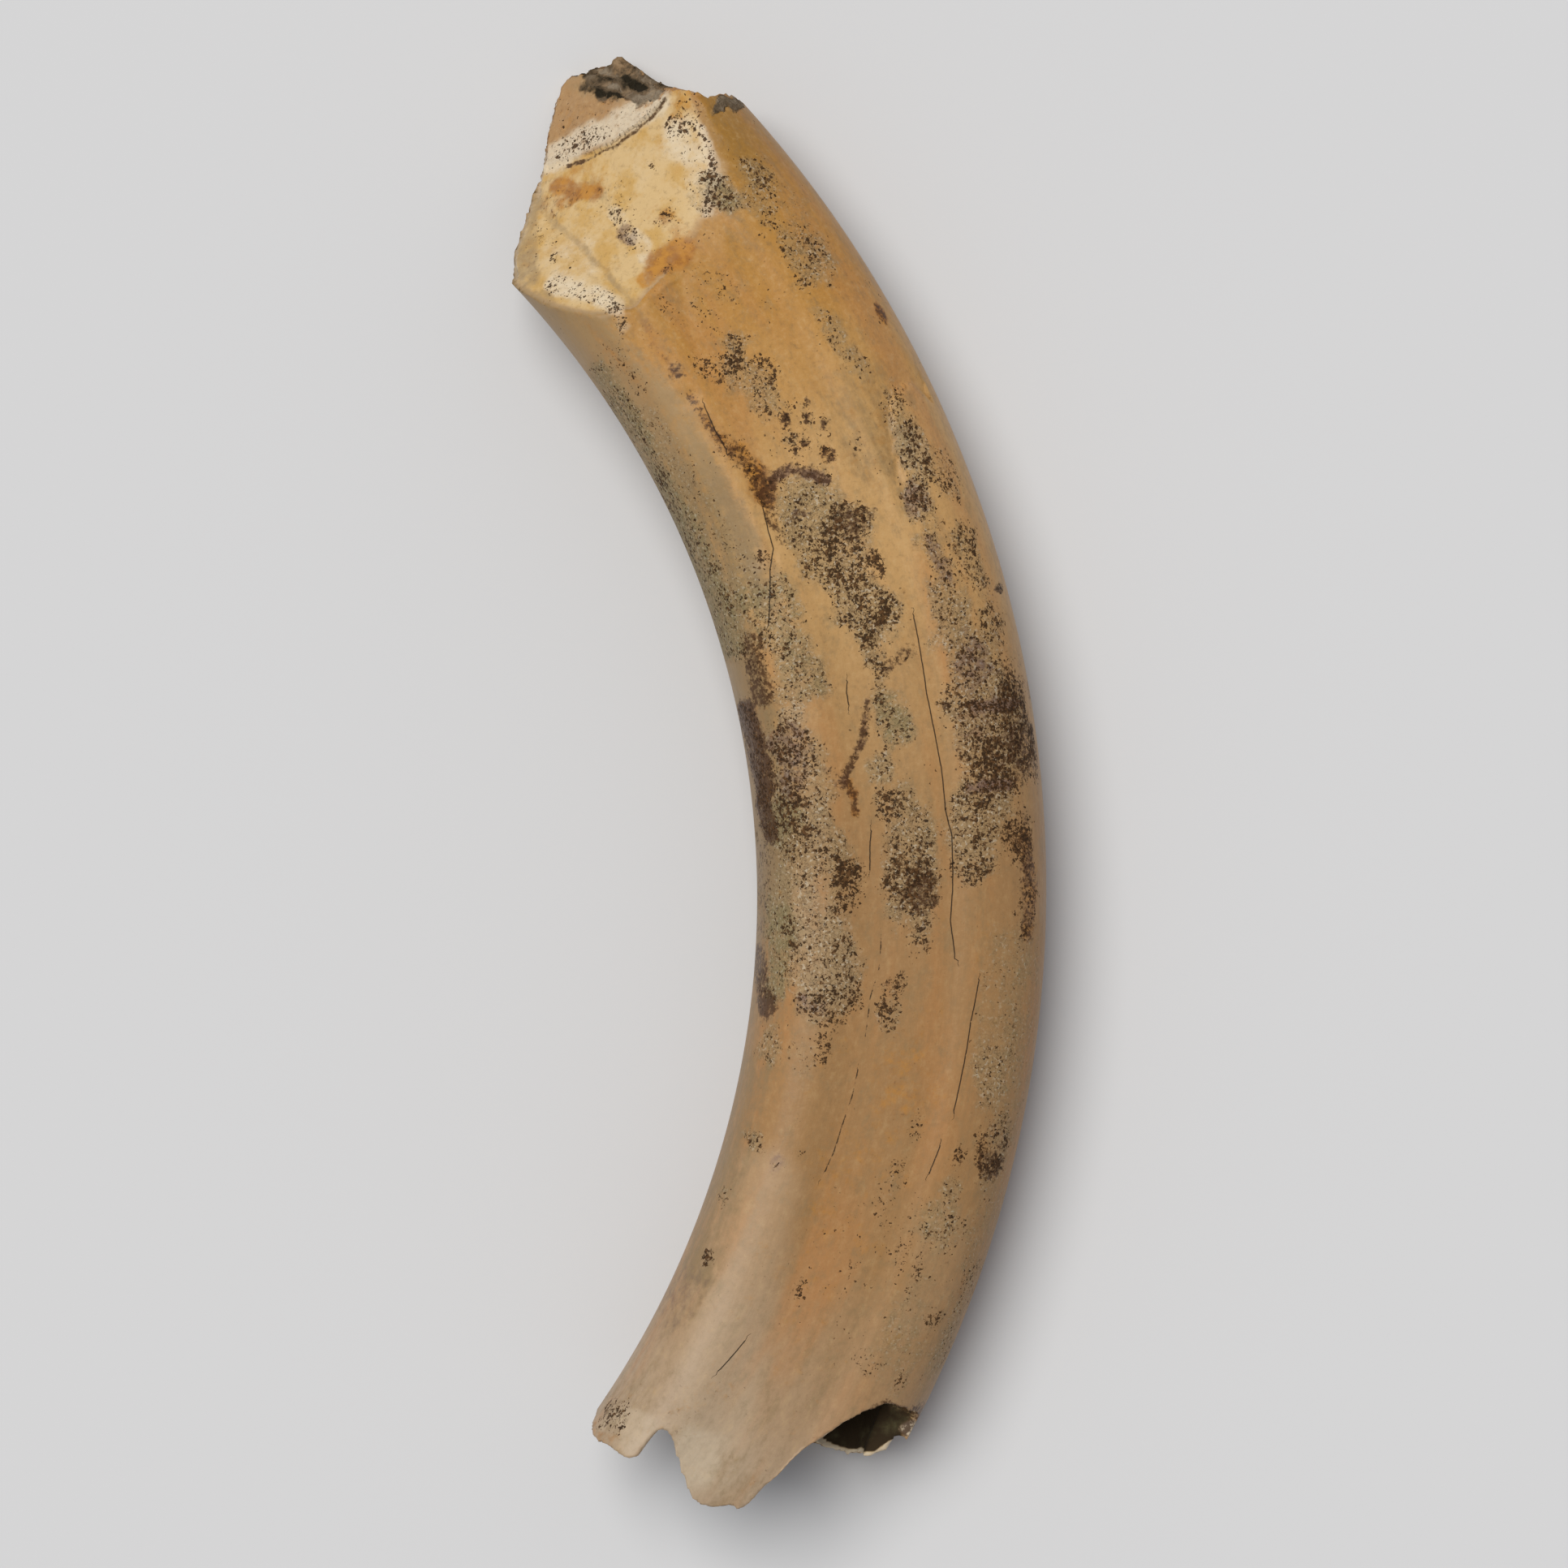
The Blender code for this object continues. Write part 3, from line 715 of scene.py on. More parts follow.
class Skin:
    """The vertices of a piece as arrays, with where each lies on the tooth."""

    BEND_SEEDS = (41.0, 57.0)
    BEND_REACH = 1.8
    BEND_WAVE = 4.4
    BEND_FINE_WAVE = 0.35
    BEND_FINE_REACH = 0.5
    BATCH = 4000

    def __init__(self, piece: bpy.types.Object, growth: Growth, crown: Crown) -> None:
        """Reads the piece's vertices.

        Args:
            piece: The mesh object.
            growth: The form that the tooth grew to.
            crown: Its worn and broken end.
        """
        self.piece = piece
        self.growth = growth
        self.crown = crown
        self.outline = growth.outline()
        self.read()

    def read(self) -> None:
        """Reads places and normals, and works out where each vertex is on the tooth."""
        mesh = self.piece.data
        flat = np.empty(len(mesh.vertices) * 3, np.float32)
        mesh.vertices.foreach_get("co", flat)
        self.places = flat.reshape(-1, 3).astype(float) / MM
        mesh.vertex_normals.foreach_get("vector", flat)
        self.normals = flat.reshape(-1, 3).astype(float)
        self.measure()

    def bend(self) -> None:
        """Bends the distances along and across, so that the edges of stains wander."""
        here = self.growth_places()
        self.bent = self.plan()
        for axis, seed in enumerate(self.BEND_SEEDS):
            self.bent[:, axis] += self.BEND_REACH * wavering(here / self.BEND_WAVE, seed)
            fine = wavering(here / (self.BEND_FINE_WAVE * self.BEND_WAVE), seed + 7.0)
            self.bent[:, axis] += self.BEND_FINE_REACH * self.BEND_REACH * fine

    def measure(self) -> None:
        """Works out angles, distances across and the nearest point of the grown section."""
        x, y, z = self.places.T
        self.angle, self.across = self.growth.locate(x, y)
        self.scale = self.growth.taper(self.angle)
        self.along = self.growth.along(self.angle)
        self.crown_across, self.crown_along = self.crown.axes(self.growth, x, y)
        turn = np.radians(self.angle)
        self.outward = np.stack([np.cos(turn), np.sin(turn), np.zeros_like(turn)], axis=1)
        self.forward = np.stack([-np.sin(turn), np.cos(turn), np.zeros_like(turn)], axis=1)
        here = np.stack([self.across / self.scale, z / self.scale], axis=1)
        self.nearest = np.empty_like(here)
        facing = np.empty_like(here)
        ahead = np.roll(self.outline, -1, axis=0) - np.roll(self.outline, 1, axis=0)
        square = np.stack([ahead[:, 1], -ahead[:, 0]], axis=1)
        square /= np.linalg.norm(square, axis=1)[:, None]
        following = np.roll(self.outline, -1, axis=0)
        leaving = following - self.outline
        for start in range(0, len(here), self.BATCH):
            chunk = here[start:start + self.BATCH]
            gaps = ((chunk[:, None, :] - self.outline[None]) ** 2).sum(axis=2)
            best = gaps.argmin(axis=1)
            closest, room = self.outline[best].copy(), gaps.min(axis=1)
            for knot in (best, best - 1):
                share = ((chunk - self.outline[knot]) * leaving[knot]).sum(axis=1)
                share = np.clip(share / (leaving[knot] ** 2).sum(axis=1), 0.0, 1.0)
                candidate = self.outline[knot] + share[:, None] * leaving[knot]
                left = ((chunk - candidate) ** 2).sum(axis=1)
                better = left < room
                closest[better], room[better] = candidate[better], left[better]
            self.nearest[start:start + self.BATCH] = closest
            facing[start:start + self.BATCH] = square[best]
        self.section_normal = facing
        offset = ((here - self.nearest) * facing).sum(axis=1)
        self.depth = -offset * self.scale
        self.flank_facing = (self.normals * self.flank_normals()).sum(axis=1)

    def flank_normals(self) -> np.ndarray:
        """The way out of the grown form at the nearest point of its section.

        Returns:
            One direction for each vertex.
        """
        up = np.zeros_like(self.outward)
        up[:, 2] = 1.0
        return self.section_normal[:, :1] * self.outward + self.section_normal[:, 1:] * up

    def plan(self) -> np.ndarray:
        """Each vertex's distances along and across."""
        return np.stack([self.along, self.across], axis=1)

    def growth_places(self) -> np.ndarray:
        """Along, across and up, in which patterns stretch with the growth."""
        return np.stack([self.along, self.across, self.places[:, 2]], axis=1)

    def write(self) -> None:
        """Writes the places back, kept inside the box of the solid."""
        low, high = (np.array(corner) / MM for corner in CAD_BOX)
        self.places = np.clip(self.places, low, high)
        self.piece.data.vertices.foreach_set("co", (self.places * MM).astype(np.float32).ravel())
        self.piece.data.update()
        self.read()

    def store(self, layer: Layer, values: np.ndarray) -> None:
        """Writes one value a vertex as a point attribute."""
        made = self.piece.data.attributes.new(layer.value, "FLOAT", "POINT")
        made.data.foreach_set("value", values.astype(np.float32))

    def gap_to(self, line: Sequence[Place], here: np.ndarray, signed: bool = False) -> np.ndarray:
        """How far each vertex is from a line, measured along and across the tooth.

        Args:
            line: Points of the line, along and across.
            here: Each vertex's distances along and across.
            signed: Whether one side of the line counts as negative.

        Returns:
            The distances.
        """
        best = np.full(len(here), np.inf)
        side = np.ones(len(here))
        for start, end in zip(np.array(line), np.array(line)[1:]):
            way = end - start
            share = np.clip(((here - start) @ way) / (way @ way), 0.0, 1.0)
            apart = here - start - share[:, None] * way
            gap = np.linalg.norm(apart, axis=1)
            nearer = gap < best
            best[nearer] = gap[nearer]
            turn = way[0] * apart[:, 1] - way[1] * apart[:, 0]
            side[nearer] = np.where(turn[nearer] < 0.0, -1.0, 1.0)
        return best * side if signed else best


@dataclass
class FossilTooth:
    """The tooth's visible piece: an even skin over the solid, carved and marked.

    A span is where a smooth step gives 0 and where it gives 1. A flute is its place across, half
    its width and its depth. A swell or a chip is its share or its height, the length of its waves
    and their seed.
    """

    node: bpy.types.Object
    growth: Growth = field(default_factory=Growth)
    crown: Crown = field(default_factory=Crown)
    picture: Picture = field(default_factory=Picture)
    weld: float = 0.001
    voxel: float = 0.71
    snap_reach: float = 0.3
    snap_fade: float = 1.6
    snap_facing: Span = (0.35, 0.6)
    crown_fine_angle: float = 33.0
    crown_fine_start: float = -17.0
    crown_fine_below: float = 1.0
    tip_fine_before: float = 1.0
    root_fine_angle: float = -31.0
    rim_fine_angle: float = -25.0
    rim_fine_across: float = 2.0
    flank_depth: Span = (0.5, 0.2)
    flank_facing: Span = (0.3, 0.7)
    flute_tilt: Span = (0.1, 0.6)
    flutes: tuple[tuple[float, float, float], ...] = (
        (6.3, 2.0, 0.22), (-4.0, 2.6, 0.18), (13.2, 2.6, 0.10),
    )
    swell: float = 0.16
    swells: tuple[tuple[float, tuple[float, float, float], float], ...] = (
        (1.0, (34.0, 11.0, 11.0), 3.0), (0.35, (70.0, 2.6, 2.6), 8.0),
    )
    rest_clear: Span = (0.15, 0.9)
    plane_reach: float = 0.6
    face_tilt: float = 0.45
    face_depth: float = 0.15
    sharp_border: float = 0.3
    soft_border: float = 2.2
    border_turn: Span = (-7.0, 3.0)
    border_angle: float = 20.0
    border_tilt: float = 0.4
    border_reach: float = 1.2
    tip_tilt: float = 0.3
    rock_least: float = 0.2
    rock_tilt: Span = (0.15, 0.5)
    rock_sink: float = 0.45
    ledge_turn: float = 28.0
    ledge_height: float = 1.2
    ledge_waves: tuple[float, float, float] = (4.5, 1.3, 2.5)
    lump_height: float = 0.6
    lump_wave: float = 1.3
    grit_height: float = 0.3
    grit_wave: float = 0.6
    pit_height: Span = (0.25, -0.45)
    groove_tilt: Span = (0.1, 0.4)
    chips: tuple[tuple[float, float, float], ...] = (
        (0.9, 3.1, 21.0), (0.5, 1.3, 25.0), (0.2, 0.6, 28.0),
    )
    break_facing: Span = (0.4, 0.75)
    break_tilt: Span = (0.75, 0.45)
    break_depth: Span = (0.2, 0.7)
    root_break_angle: float = -24.0
    wall_tilt: Span = (0.5, 0.3)
    wall_depth: Span = (0.3, 0.9)
    wall_start: float = -1.0
    shown_tilt: Span = (-0.45, 0.1)
    full_bend: float = 2.6
    streak_bend: float = 0.2
    patch_edge: Span = (1.35, 0.6)
    streak_edge: Span = (1.35, 0.5)
    hollow_end: float = -8.0
    hollow_depth: Span = (0.35, 0.9)
    hollow_facing: Span = (0.3, -0.1)
    shelf_angle: Span = (-25.0, -28.0)
    shelf_depth: Span = (0.5, 1.3)
    shelf_height: Span = (17.5, 15.5)
    deepest: float = 12.0
    wear_start: float = 0.1
    wear_blend: float = 0.25
    wear_soft_blend: float = 1.5
    tip_edge: Span = (-0.2, 0.3)
    tip_depth: Span = (0.3, 0.8)
    band_waves: tuple[float, float, float] = (26.0, 7.0, 7.0)
    band_fine_waves: tuple[float, float, float] = (9.0, 4.0, 4.0)
    band_height: Span = (0.05, 0.45)
    band_angle: Span = (-24.0, -8.0)
    band_stain: Stain = Stain(speckle=0.75, bloom=0.8, green=0.3)
    break_stain: Stain = Stain(speckle=0.4, rust=0.5, crust=0.45, bloom=0.4)
    soil_depth: Span = (1.2, 2.5)
    ring_start: Span = (0.25, 0.6)
    ring_end: Span = (2.3, 1.3)
    ring_share: float = 0.8
    fill_wave: float = 5.0
    fill_height: Span = (-0.25, 0.1)
    fill_depth: Span = (2.0, 3.5)
    rock_mark_tilt: Span = (-0.1, 0.25)
    strip_across: Span = (-12.0, -16.0)
    strip_angle: Span = (-14.0, 2.0)
    strip_least: float = 0.3
    ridge_across: Span = (-8.0, -11.8)
    ridge_shift: float = 2.2
    ridge_shift_angle: Span = (30.0, 35.0)
    ridge_angle: Span = (14.0, 20.0)
    ridge_share: float = 0.85
    shade_depth: Span = (1.2, 0.4)
    crack_reach: Span = (1.7, 0.9)
    crack_limit: float = 3.0
    piece: bpy.types.Object = field(init=False)
    skin: Skin = field(init=False)
    lost: np.ndarray = field(init=False)
    wall: np.ndarray = field(init=False)
    pit_shade_share: np.ndarray = field(init=False)
    breaks: np.ndarray = field(init=False)

    def build(self) -> bpy.types.Object:
        """Makes the piece.

        Returns:
            The mesh object, in place.
        """
        self.copy_solid()
        self.even_out()
        self.refine()
        self.carve()
        self.mark()
        return self.piece

    def copy_solid(self) -> None:
        """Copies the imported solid's mesh and merges its loose triangles."""
        bpy.ops.object.select_all(action="DESELECT")
        self.piece = bpy.data.objects.new("tooth_surface", self.node.data.copy())
        self.piece.data.name = "tooth_surface"
        bpy.context.scene.collection.objects.link(self.piece)
        self.piece.select_set(True)
        bpy.context.view_layer.objects.active = self.piece
        bpy.ops.object.mode_set(mode="EDIT")
        bpy.ops.mesh.select_all(action="SELECT")
        bpy.ops.mesh.remove_doubles(threshold=self.weld * MM)
        bpy.ops.object.mode_set(mode="OBJECT")

    def even_out(self) -> None:
        """Gives the piece faces of one size and lays its flanks on the grown form."""
        even = self.piece.modifiers.new("even_skin", "REMESH")
        even.mode = "VOXEL"
        even.voxel_size = self.voxel * MM
        bpy.ops.object.modifier_apply(modifier=even.name)
        self.skin = Skin(self.piece, self.growth, self.crown)
        self.lay_on_growth()

    def lay_on_growth(self) -> None:
        """Moves vertices that are close to the grown form onto it."""
        skin = self.skin
        near = smooth_step((self.snap_reach * self.snap_fade, self.snap_reach), np.abs(skin.depth))
        near *= smooth_step(self.snap_facing, skin.flank_facing)
        target = skin.nearest * skin.scale[:, None]
        shift = skin.outward * (target[:, :1] - skin.across[:, None])
        shift[:, 2] = target[:, 1] - skin.places[:, 2]
        skin.places += shift * near[:, None]
        skin.write()

    def refine(self) -> None:
        """Splits the faces of the crown and of the root's broken rim once more."""
        mesh = self.piece.data
        centres = np.empty(len(mesh.polygons) * 3, np.float32)
        mesh.polygons.foreach_get("center", centres)
        x, y, z = centres.reshape(-1, 3).T.astype(float) / MM
        angle, across = self.growth.locate(x, y)
        crown_across, crown_along = self.crown.axes(self.growth, x, y)
        worn = self.crown.worn_height(crown_across, crown_along)
        face = (angle > self.crown_fine_angle) & (crown_along > self.crown_fine_start)
        face &= z > worn - self.crown_fine_below
        tip = crown_along > self.crown.edge(crown_across) - self.tip_fine_before
        rim = (angle < self.rim_fine_angle) & (across > self.rim_fine_across)
        self.split(face | tip | rim | (angle < self.root_fine_angle))

    def split(self, chosen: np.ndarray) -> None:
        """Splits the chosen faces in four.

        Args:
            chosen: Whether each face is split.
        """
        mesh = self.piece.data
        bpy.context.tool_settings.mesh_select_mode = (False, False, True)
        bpy.ops.object.mode_set(mode="EDIT")
        bpy.ops.mesh.select_all(action="DESELECT")
        bpy.ops.object.mode_set(mode="OBJECT")
        mesh.polygons.foreach_set("select", chosen)
        bpy.ops.object.mode_set(mode="EDIT")
        bpy.ops.mesh.subdivide(number_cuts=1)
        bpy.ops.object.mode_set(mode="OBJECT")
        self.skin.read()
        self.lay_on_growth()

    def carve(self) -> None:
        """Carves growth, wear and breaks into the skin, from broad to fine."""
        self.lost = self.skin.depth.copy()
        self.carve_growth()
        self.carve_worn_face()
        self.skin.bend()
        self.carve_tip()
        self.carve_grooves()
        self.carve_breaks()
        bpy.ops.object.shade_smooth()

    def carve_growth(self) -> None:
        """Sinks shallow flutes and slow swells along the shaft."""
        skin = self.skin
        flank = smooth_step(self.flank_depth, np.abs(skin.depth))
        flank = flank * smooth_step(self.flank_facing, skin.flank_facing)
        upper = self.tilted(self.flute_tilt)
        sink = np.zeros(len(flank))
        for across, half_wide, depth in self.flutes:
            gap = (skin.across / skin.scale - across) / half_wide
            sink += depth * np.exp(-(gap**2)) * upper
        for share, waves, seed in self.swells:
            swelling = 0.5 + 0.5 * wavering(skin.growth_places() / np.array(waves), seed)
            sink += share * self.swell * swelling
        resting = smooth_step(self.rest_clear, skin.places[:, 2])
        skin.places -= skin.flank_normals() * (sink * flank * resting)[:, None]
        skin.write()

    def carve_worn_face(self) -> None:
        """Lays the worn face flat and cuts its chipped edge sharp."""
        skin = self.skin
        up, height = skin.normals[:, 2], skin.places[:, 2]
        worn = self.crown.worn_height(skin.crown_across, skin.crown_along)
        beyond = self.beyond()
        inside = (beyond < 0.0) & (skin.crown_along > self.crown.worn_start)
        inside &= skin.angle > self.crown.first_angle
        on_face = inside & (np.abs(height - worn) < self.plane_reach)
        on_face &= (up > self.face_tilt) & (skin.depth > self.face_depth)
        height[on_face] = worn[on_face]
        over = inside & (height > worn)
        height[over] = worn[over]
        grown = self.picture.top(skin.across / skin.scale) * skin.scale
        softer = smooth_step(self.border_turn, skin.crown_across)
        round_off = self.sharp_border + self.soft_border * softer
        share = np.clip(0.5 + 0.5 * (worn - grown) / round_off, 0.0, 1.0)
        soft = worn * (1.0 - share) + grown * share - round_off * share * (1.0 - share)
        upper = (beyond < 0.0) & (skin.angle > self.border_angle) & (up > self.border_tilt)
        upper &= (np.abs(height - soft) < self.border_reach) & (height > soft)
        height[upper] = soft[upper]
        skin.write()

    def carve_tip(self) -> None:
        """Lays the broken plane beyond the chipped edge, and roughens the rock in it."""
        skin = self.skin
        self.wall = self.end_wall()
        plane = self.crown.tip_height(skin.crown_across, skin.crown_along)
        height = skin.places[:, 2]
        rock = self.dose(Layer.ROCK) * self.tilted(self.rock_tilt)
        on_plane = (self.beyond() > 0.0) & (np.abs(height - plane) < self.plane_reach)
        on_plane &= (rock < self.rock_least) & (skin.normals[:, 2] > self.tip_tilt)
        height[on_plane] = plane[on_plane]
        lumps = self.ledge_height * wavering(self.ledge_places() / np.array(self.ledge_waves), 5.0)
        rough = self.lump_height * np.abs(wavering(skin.places / self.lump_wave, 9.0))
        lumps += rough + self.grit_height * wavering(skin.places / self.grit_wave, 12.0)
        # The rock's low places, which the material darkens as painted shade.
        self.pit_shade_share = smooth_step(self.pit_height, lumps)
        height += rock * (lumps - self.rock_sink)
        skin.write()

    def ledge_places(self) -> np.ndarray:
        """Along the rock's ledges, across them and up.

        Returns:
            One row for each vertex.
        """
        turn = math.radians(self.ledge_turn)
        x, y, z = self.skin.places.T
        run = x * math.cos(turn) - y * math.sin(turn)
        return np.stack([run, x * math.sin(turn) + y * math.cos(turn), z], axis=1)

    def carve_grooves(self) -> None:
        """Sinks the furrows that run down from the worn face."""
        skin = self.skin
        shown = self.tilted(self.groove_tilt)
        for groove in GROOVES:
            line = [self.picture.on_tooth(place) for place in groove.line]
            gap = skin.gap_to(line, skin.plan()) / groove.half_wide
            skin.places -= skin.normals * (groove.depth * np.exp(-gap * gap) * shown)[:, None]
        skin.write()

    def carve_breaks(self) -> None:
        """Chips the broken walls of the tip and the rim of the root."""
        skin = self.skin
        chips = sum(
            height * np.abs(wavering(skin.places / wave, seed))
            for height, wave, seed in self.chips
        )
        self.breaks = self.broken()
        skin.places -= skin.normals * (self.breaks * chips)[:, None]
        skin.write()

    def tilted(self, span: Span) -> np.ndarray:
        """A smooth step of how much each vertex faces up."""
        return smooth_step(span, self.skin.normals[:, 2])

    def sunk(self, span: Span) -> np.ndarray:
        """A smooth step of how deep wear and breaks have gone at each vertex."""
        return smooth_step(span, self.lost)

    def around(self, span: Span) -> np.ndarray:
        """A smooth step of the angle on the arc."""
        return smooth_step(span, self.skin.angle)

    def beyond(self) -> np.ndarray:
        """How far beyond the chipped edge each vertex is, towards the tip."""
        return self.skin.crown_along - self.crown.edge(self.skin.crown_across)

    def broken(self) -> np.ndarray:
        """Where the surface is a break across the tooth: its two ends, but not the worn face.

        Returns:
            The share, from 0 to 1.
        """
        skin = self.skin
        ended = np.abs((skin.normals * skin.forward).sum(axis=1))
        broken = smooth_step(self.break_facing, ended) * self.tilted(self.break_tilt)
        broken *= ((skin.angle < self.root_break_angle) | (skin.crown_along > 0.0)).astype(float)
        return broken * self.sunk(self.break_depth)

    def end_wall(self) -> np.ndarray:
        """The steep broken wall under the tip, which the photograph doesn't show."""
        steep = self.tilted(self.wall_tilt) * self.sunk(self.wall_depth)
        return steep * (self.skin.crown_along > self.wall_start)

    def facing(self) -> np.ndarray:
        """How much each vertex belongs to the side that shows."""
        return self.tilted(self.shown_tilt)

    def dose(self, layer: Layer) -> np.ndarray:
        """How much of a layer the marks of the side that shows give each vertex.

        Args:
            layer: The layer, which each mark names as a field.

        Returns:
            The share, from 0 to 1.
        """
        skin, pixel = self.skin, self.picture.pixel
        bare = np.ones(len(skin.along))
        for patch in PATCHES:
            strength = getattr(patch, layer.value)
            if strength:
                along, across = self.picture.on_tooth((patch.x, patch.y))
                half_long, half_wide = patch.half_long * pixel, patch.half_wide * pixel
                bend = min(1.0, half_wide / self.full_bend)
                here = skin.plan() + (skin.bent - skin.plan()) * bend
                far = np.hypot((here[:, 0] - along) / half_long, (here[:, 1] - across) / half_wide)
                bare *= 1.0 - strength * smooth_step(self.patch_edge, far)
        for streak in STREAKS:
            strength = getattr(streak, layer.value)
            if strength:
                line = [self.picture.on_tooth(place) for place in streak.line]
                here = skin.plan() * (1.0 - self.streak_bend) + skin.bent * self.streak_bend
                far = skin.gap_to(line, here) / (streak.half_wide * pixel)
                bare *= 1.0 - strength * smooth_step(self.streak_edge, far)
        return (1.0 - bare) * self.facing()

    def mark(self) -> None:
        """Writes every layer that the material reads."""
        skin, growth = self.skin, self.growth
        skin.bend()
        share = (skin.angle - growth.root_angle) / (growth.crown_angle - growth.root_angle)
        skin.store(Layer.ALONG, np.clip(share, 0.0, 1.0))
        skin.store(Layer.DEPTH, np.clip(self.lost, 0.0, self.deepest))
        self.mark_wear()
        self.mark_stains()
        skin.store(Layer.PALE, self.pale())
        skin.store(Layer.ROCK, self.rock())
        skin.store(Layer.PIT, self.pit_shade_share)
        skin.store(Layer.SHADE, self.shade())
        self.mark_cracks()
        places = skin.growth_places() * MM
        made = self.piece.data.attributes.new("growth", "FLOAT_VECTOR", "POINT")
        made.data.foreach_set("vector", places.astype(np.float32).ravel())

    def mark_wear(self) -> None:
        """Writes where the hollow, the worn face and the broken plane lie."""
        skin, whole = self.skin, 1.0 - self.breaks
        inner = self.sunk(self.hollow_depth) * smooth_step(self.hollow_facing, skin.flank_facing)
        inner *= (skin.angle < self.hollow_end) * whole
        shelf = self.around(self.shelf_angle) * self.sunk(self.shelf_depth)
        shelf *= smooth_step(self.shelf_height, skin.places[:, 2]) * whole
        hollow = np.maximum(inner, shelf) * (1.0 - self.dose(Layer.PALE))
        skin.store(Layer.HOLLOW, hollow)
        softer = smooth_step(self.border_turn, skin.crown_across)
        blend = self.wear_blend + self.wear_soft_blend * softer
        wear = np.clip((self.lost - self.wear_start) / blend, 0.0, 1.0)
        skin.store(Layer.WEAR, wear * (1.0 - hollow))
        plane = np.maximum(smooth_step(self.tip_edge, self.beyond()), self.wall)
        skin.store(Layer.TIP, plane * self.sunk(self.tip_depth))

    def mark_stains(self) -> None:
        """Writes the stains: the marks that show, hidden bands and dirt in the breaks."""
        places = self.skin.growth_places()
        bands = wavering(places / np.array(self.band_waves), 31.0)
        bands += 0.5 * wavering(places / np.array(self.band_fine_waves), 36.0)
        unseen = smooth_step(self.band_height, bands) * self.around(self.band_angle)
        unseen *= 1.0 - self.facing()
        broken = self.breaks * self.sunk(self.soil_depth)
        for layer in STAIN_LAYERS:
            on_bands = getattr(self.band_stain, layer.value) * unseen
            in_breaks = getattr(self.break_stain, layer.value) * broken
            stain = self.dose(layer) + (on_bands + in_breaks)
            self.skin.store(layer, np.clip(stain, 0.0, 1.0))

    def pale(self) -> np.ndarray:
        """Where the hard pale layer lies bare: its marks, and a ring round the breaks.

        Returns:
            The share, from 0 to 1.
        """
        ring = self.sunk(self.ring_start) * self.sunk(self.ring_end)
        ring *= self.ring_share * np.maximum(self.breaks, self.wall)
        return np.maximum(self.dose(Layer.PALE) * (1.0 - self.wall), ring)

    def rock(self) -> np.ndarray:
        """Where sediment fills the break: the marks of the tip and the tip's broken end wall.

        Returns:
            The share, from 0 to 1.
        """
        filled = smooth_step(self.fill_height, wavering(self.skin.places / self.fill_wave, 62.0))
        filled *= self.sunk(self.fill_depth)
        marked = self.dose(Layer.ROCK) * self.tilted(self.rock_mark_tilt)
        return np.maximum(marked * (1.0 - self.wall), filled * self.wall)

    def shade(self) -> np.ndarray:
        """Where the concave flank turns greyer and darker: the strip beyond the left ridge, partly
        grey cement and partly painted shade where the flank turns away, and the shade marks.

        Returns:
            The share, from 0 to 1.
        """
        across = self.skin.across / self.skin.scale
        fading = self.strip_least + (1.0 - self.strip_least) * self.around(self.strip_angle)
        strip = smooth_step(self.strip_across, across) * fading
        shift = self.ridge_shift * self.around(self.ridge_shift_angle)
        ridge = smooth_step(self.ridge_across, across + shift) * self.around(self.ridge_angle)
        flank = np.maximum(strip, self.ridge_share * ridge) * self.sunk(self.shade_depth)
        return np.maximum(flank, self.dose(Layer.SHADE))

    def mark_cracks(self) -> None:
        """Writes how far each vertex is to one side of the nearest crack, and how strong it is."""
        skin = self.skin
        hold = np.zeros(len(skin.along))
        side = np.full(len(skin.along), self.crack_limit)
        nearest = np.full(len(skin.along), np.inf)
        for crack in CRACKS:
            if crack.side is Side.SHOWN:
                line = [self.picture.on_tooth(place) for place in crack.line]
                seen = self.facing()
            else:
                line = [(float(self.growth.along(angle)), across) for angle, across in crack.line]
                seen = 1.0 - self.facing()
            gap = skin.gap_to(line, skin.plan(), signed=True)
            closer = (np.abs(gap) < nearest) & (seen > 0.5)
            nearest[closer] = np.abs(gap)[closer]
            side[closer] = gap[closer]
            hold[closer] = (crack.hold * smooth_step(self.crack_reach, np.abs(gap)))[closer]
        skin.store(Layer.CRACK_SIDE, np.clip(side, -self.crack_limit, self.crack_limit))
        skin.store(Layer.CRACK_HOLD, hold)


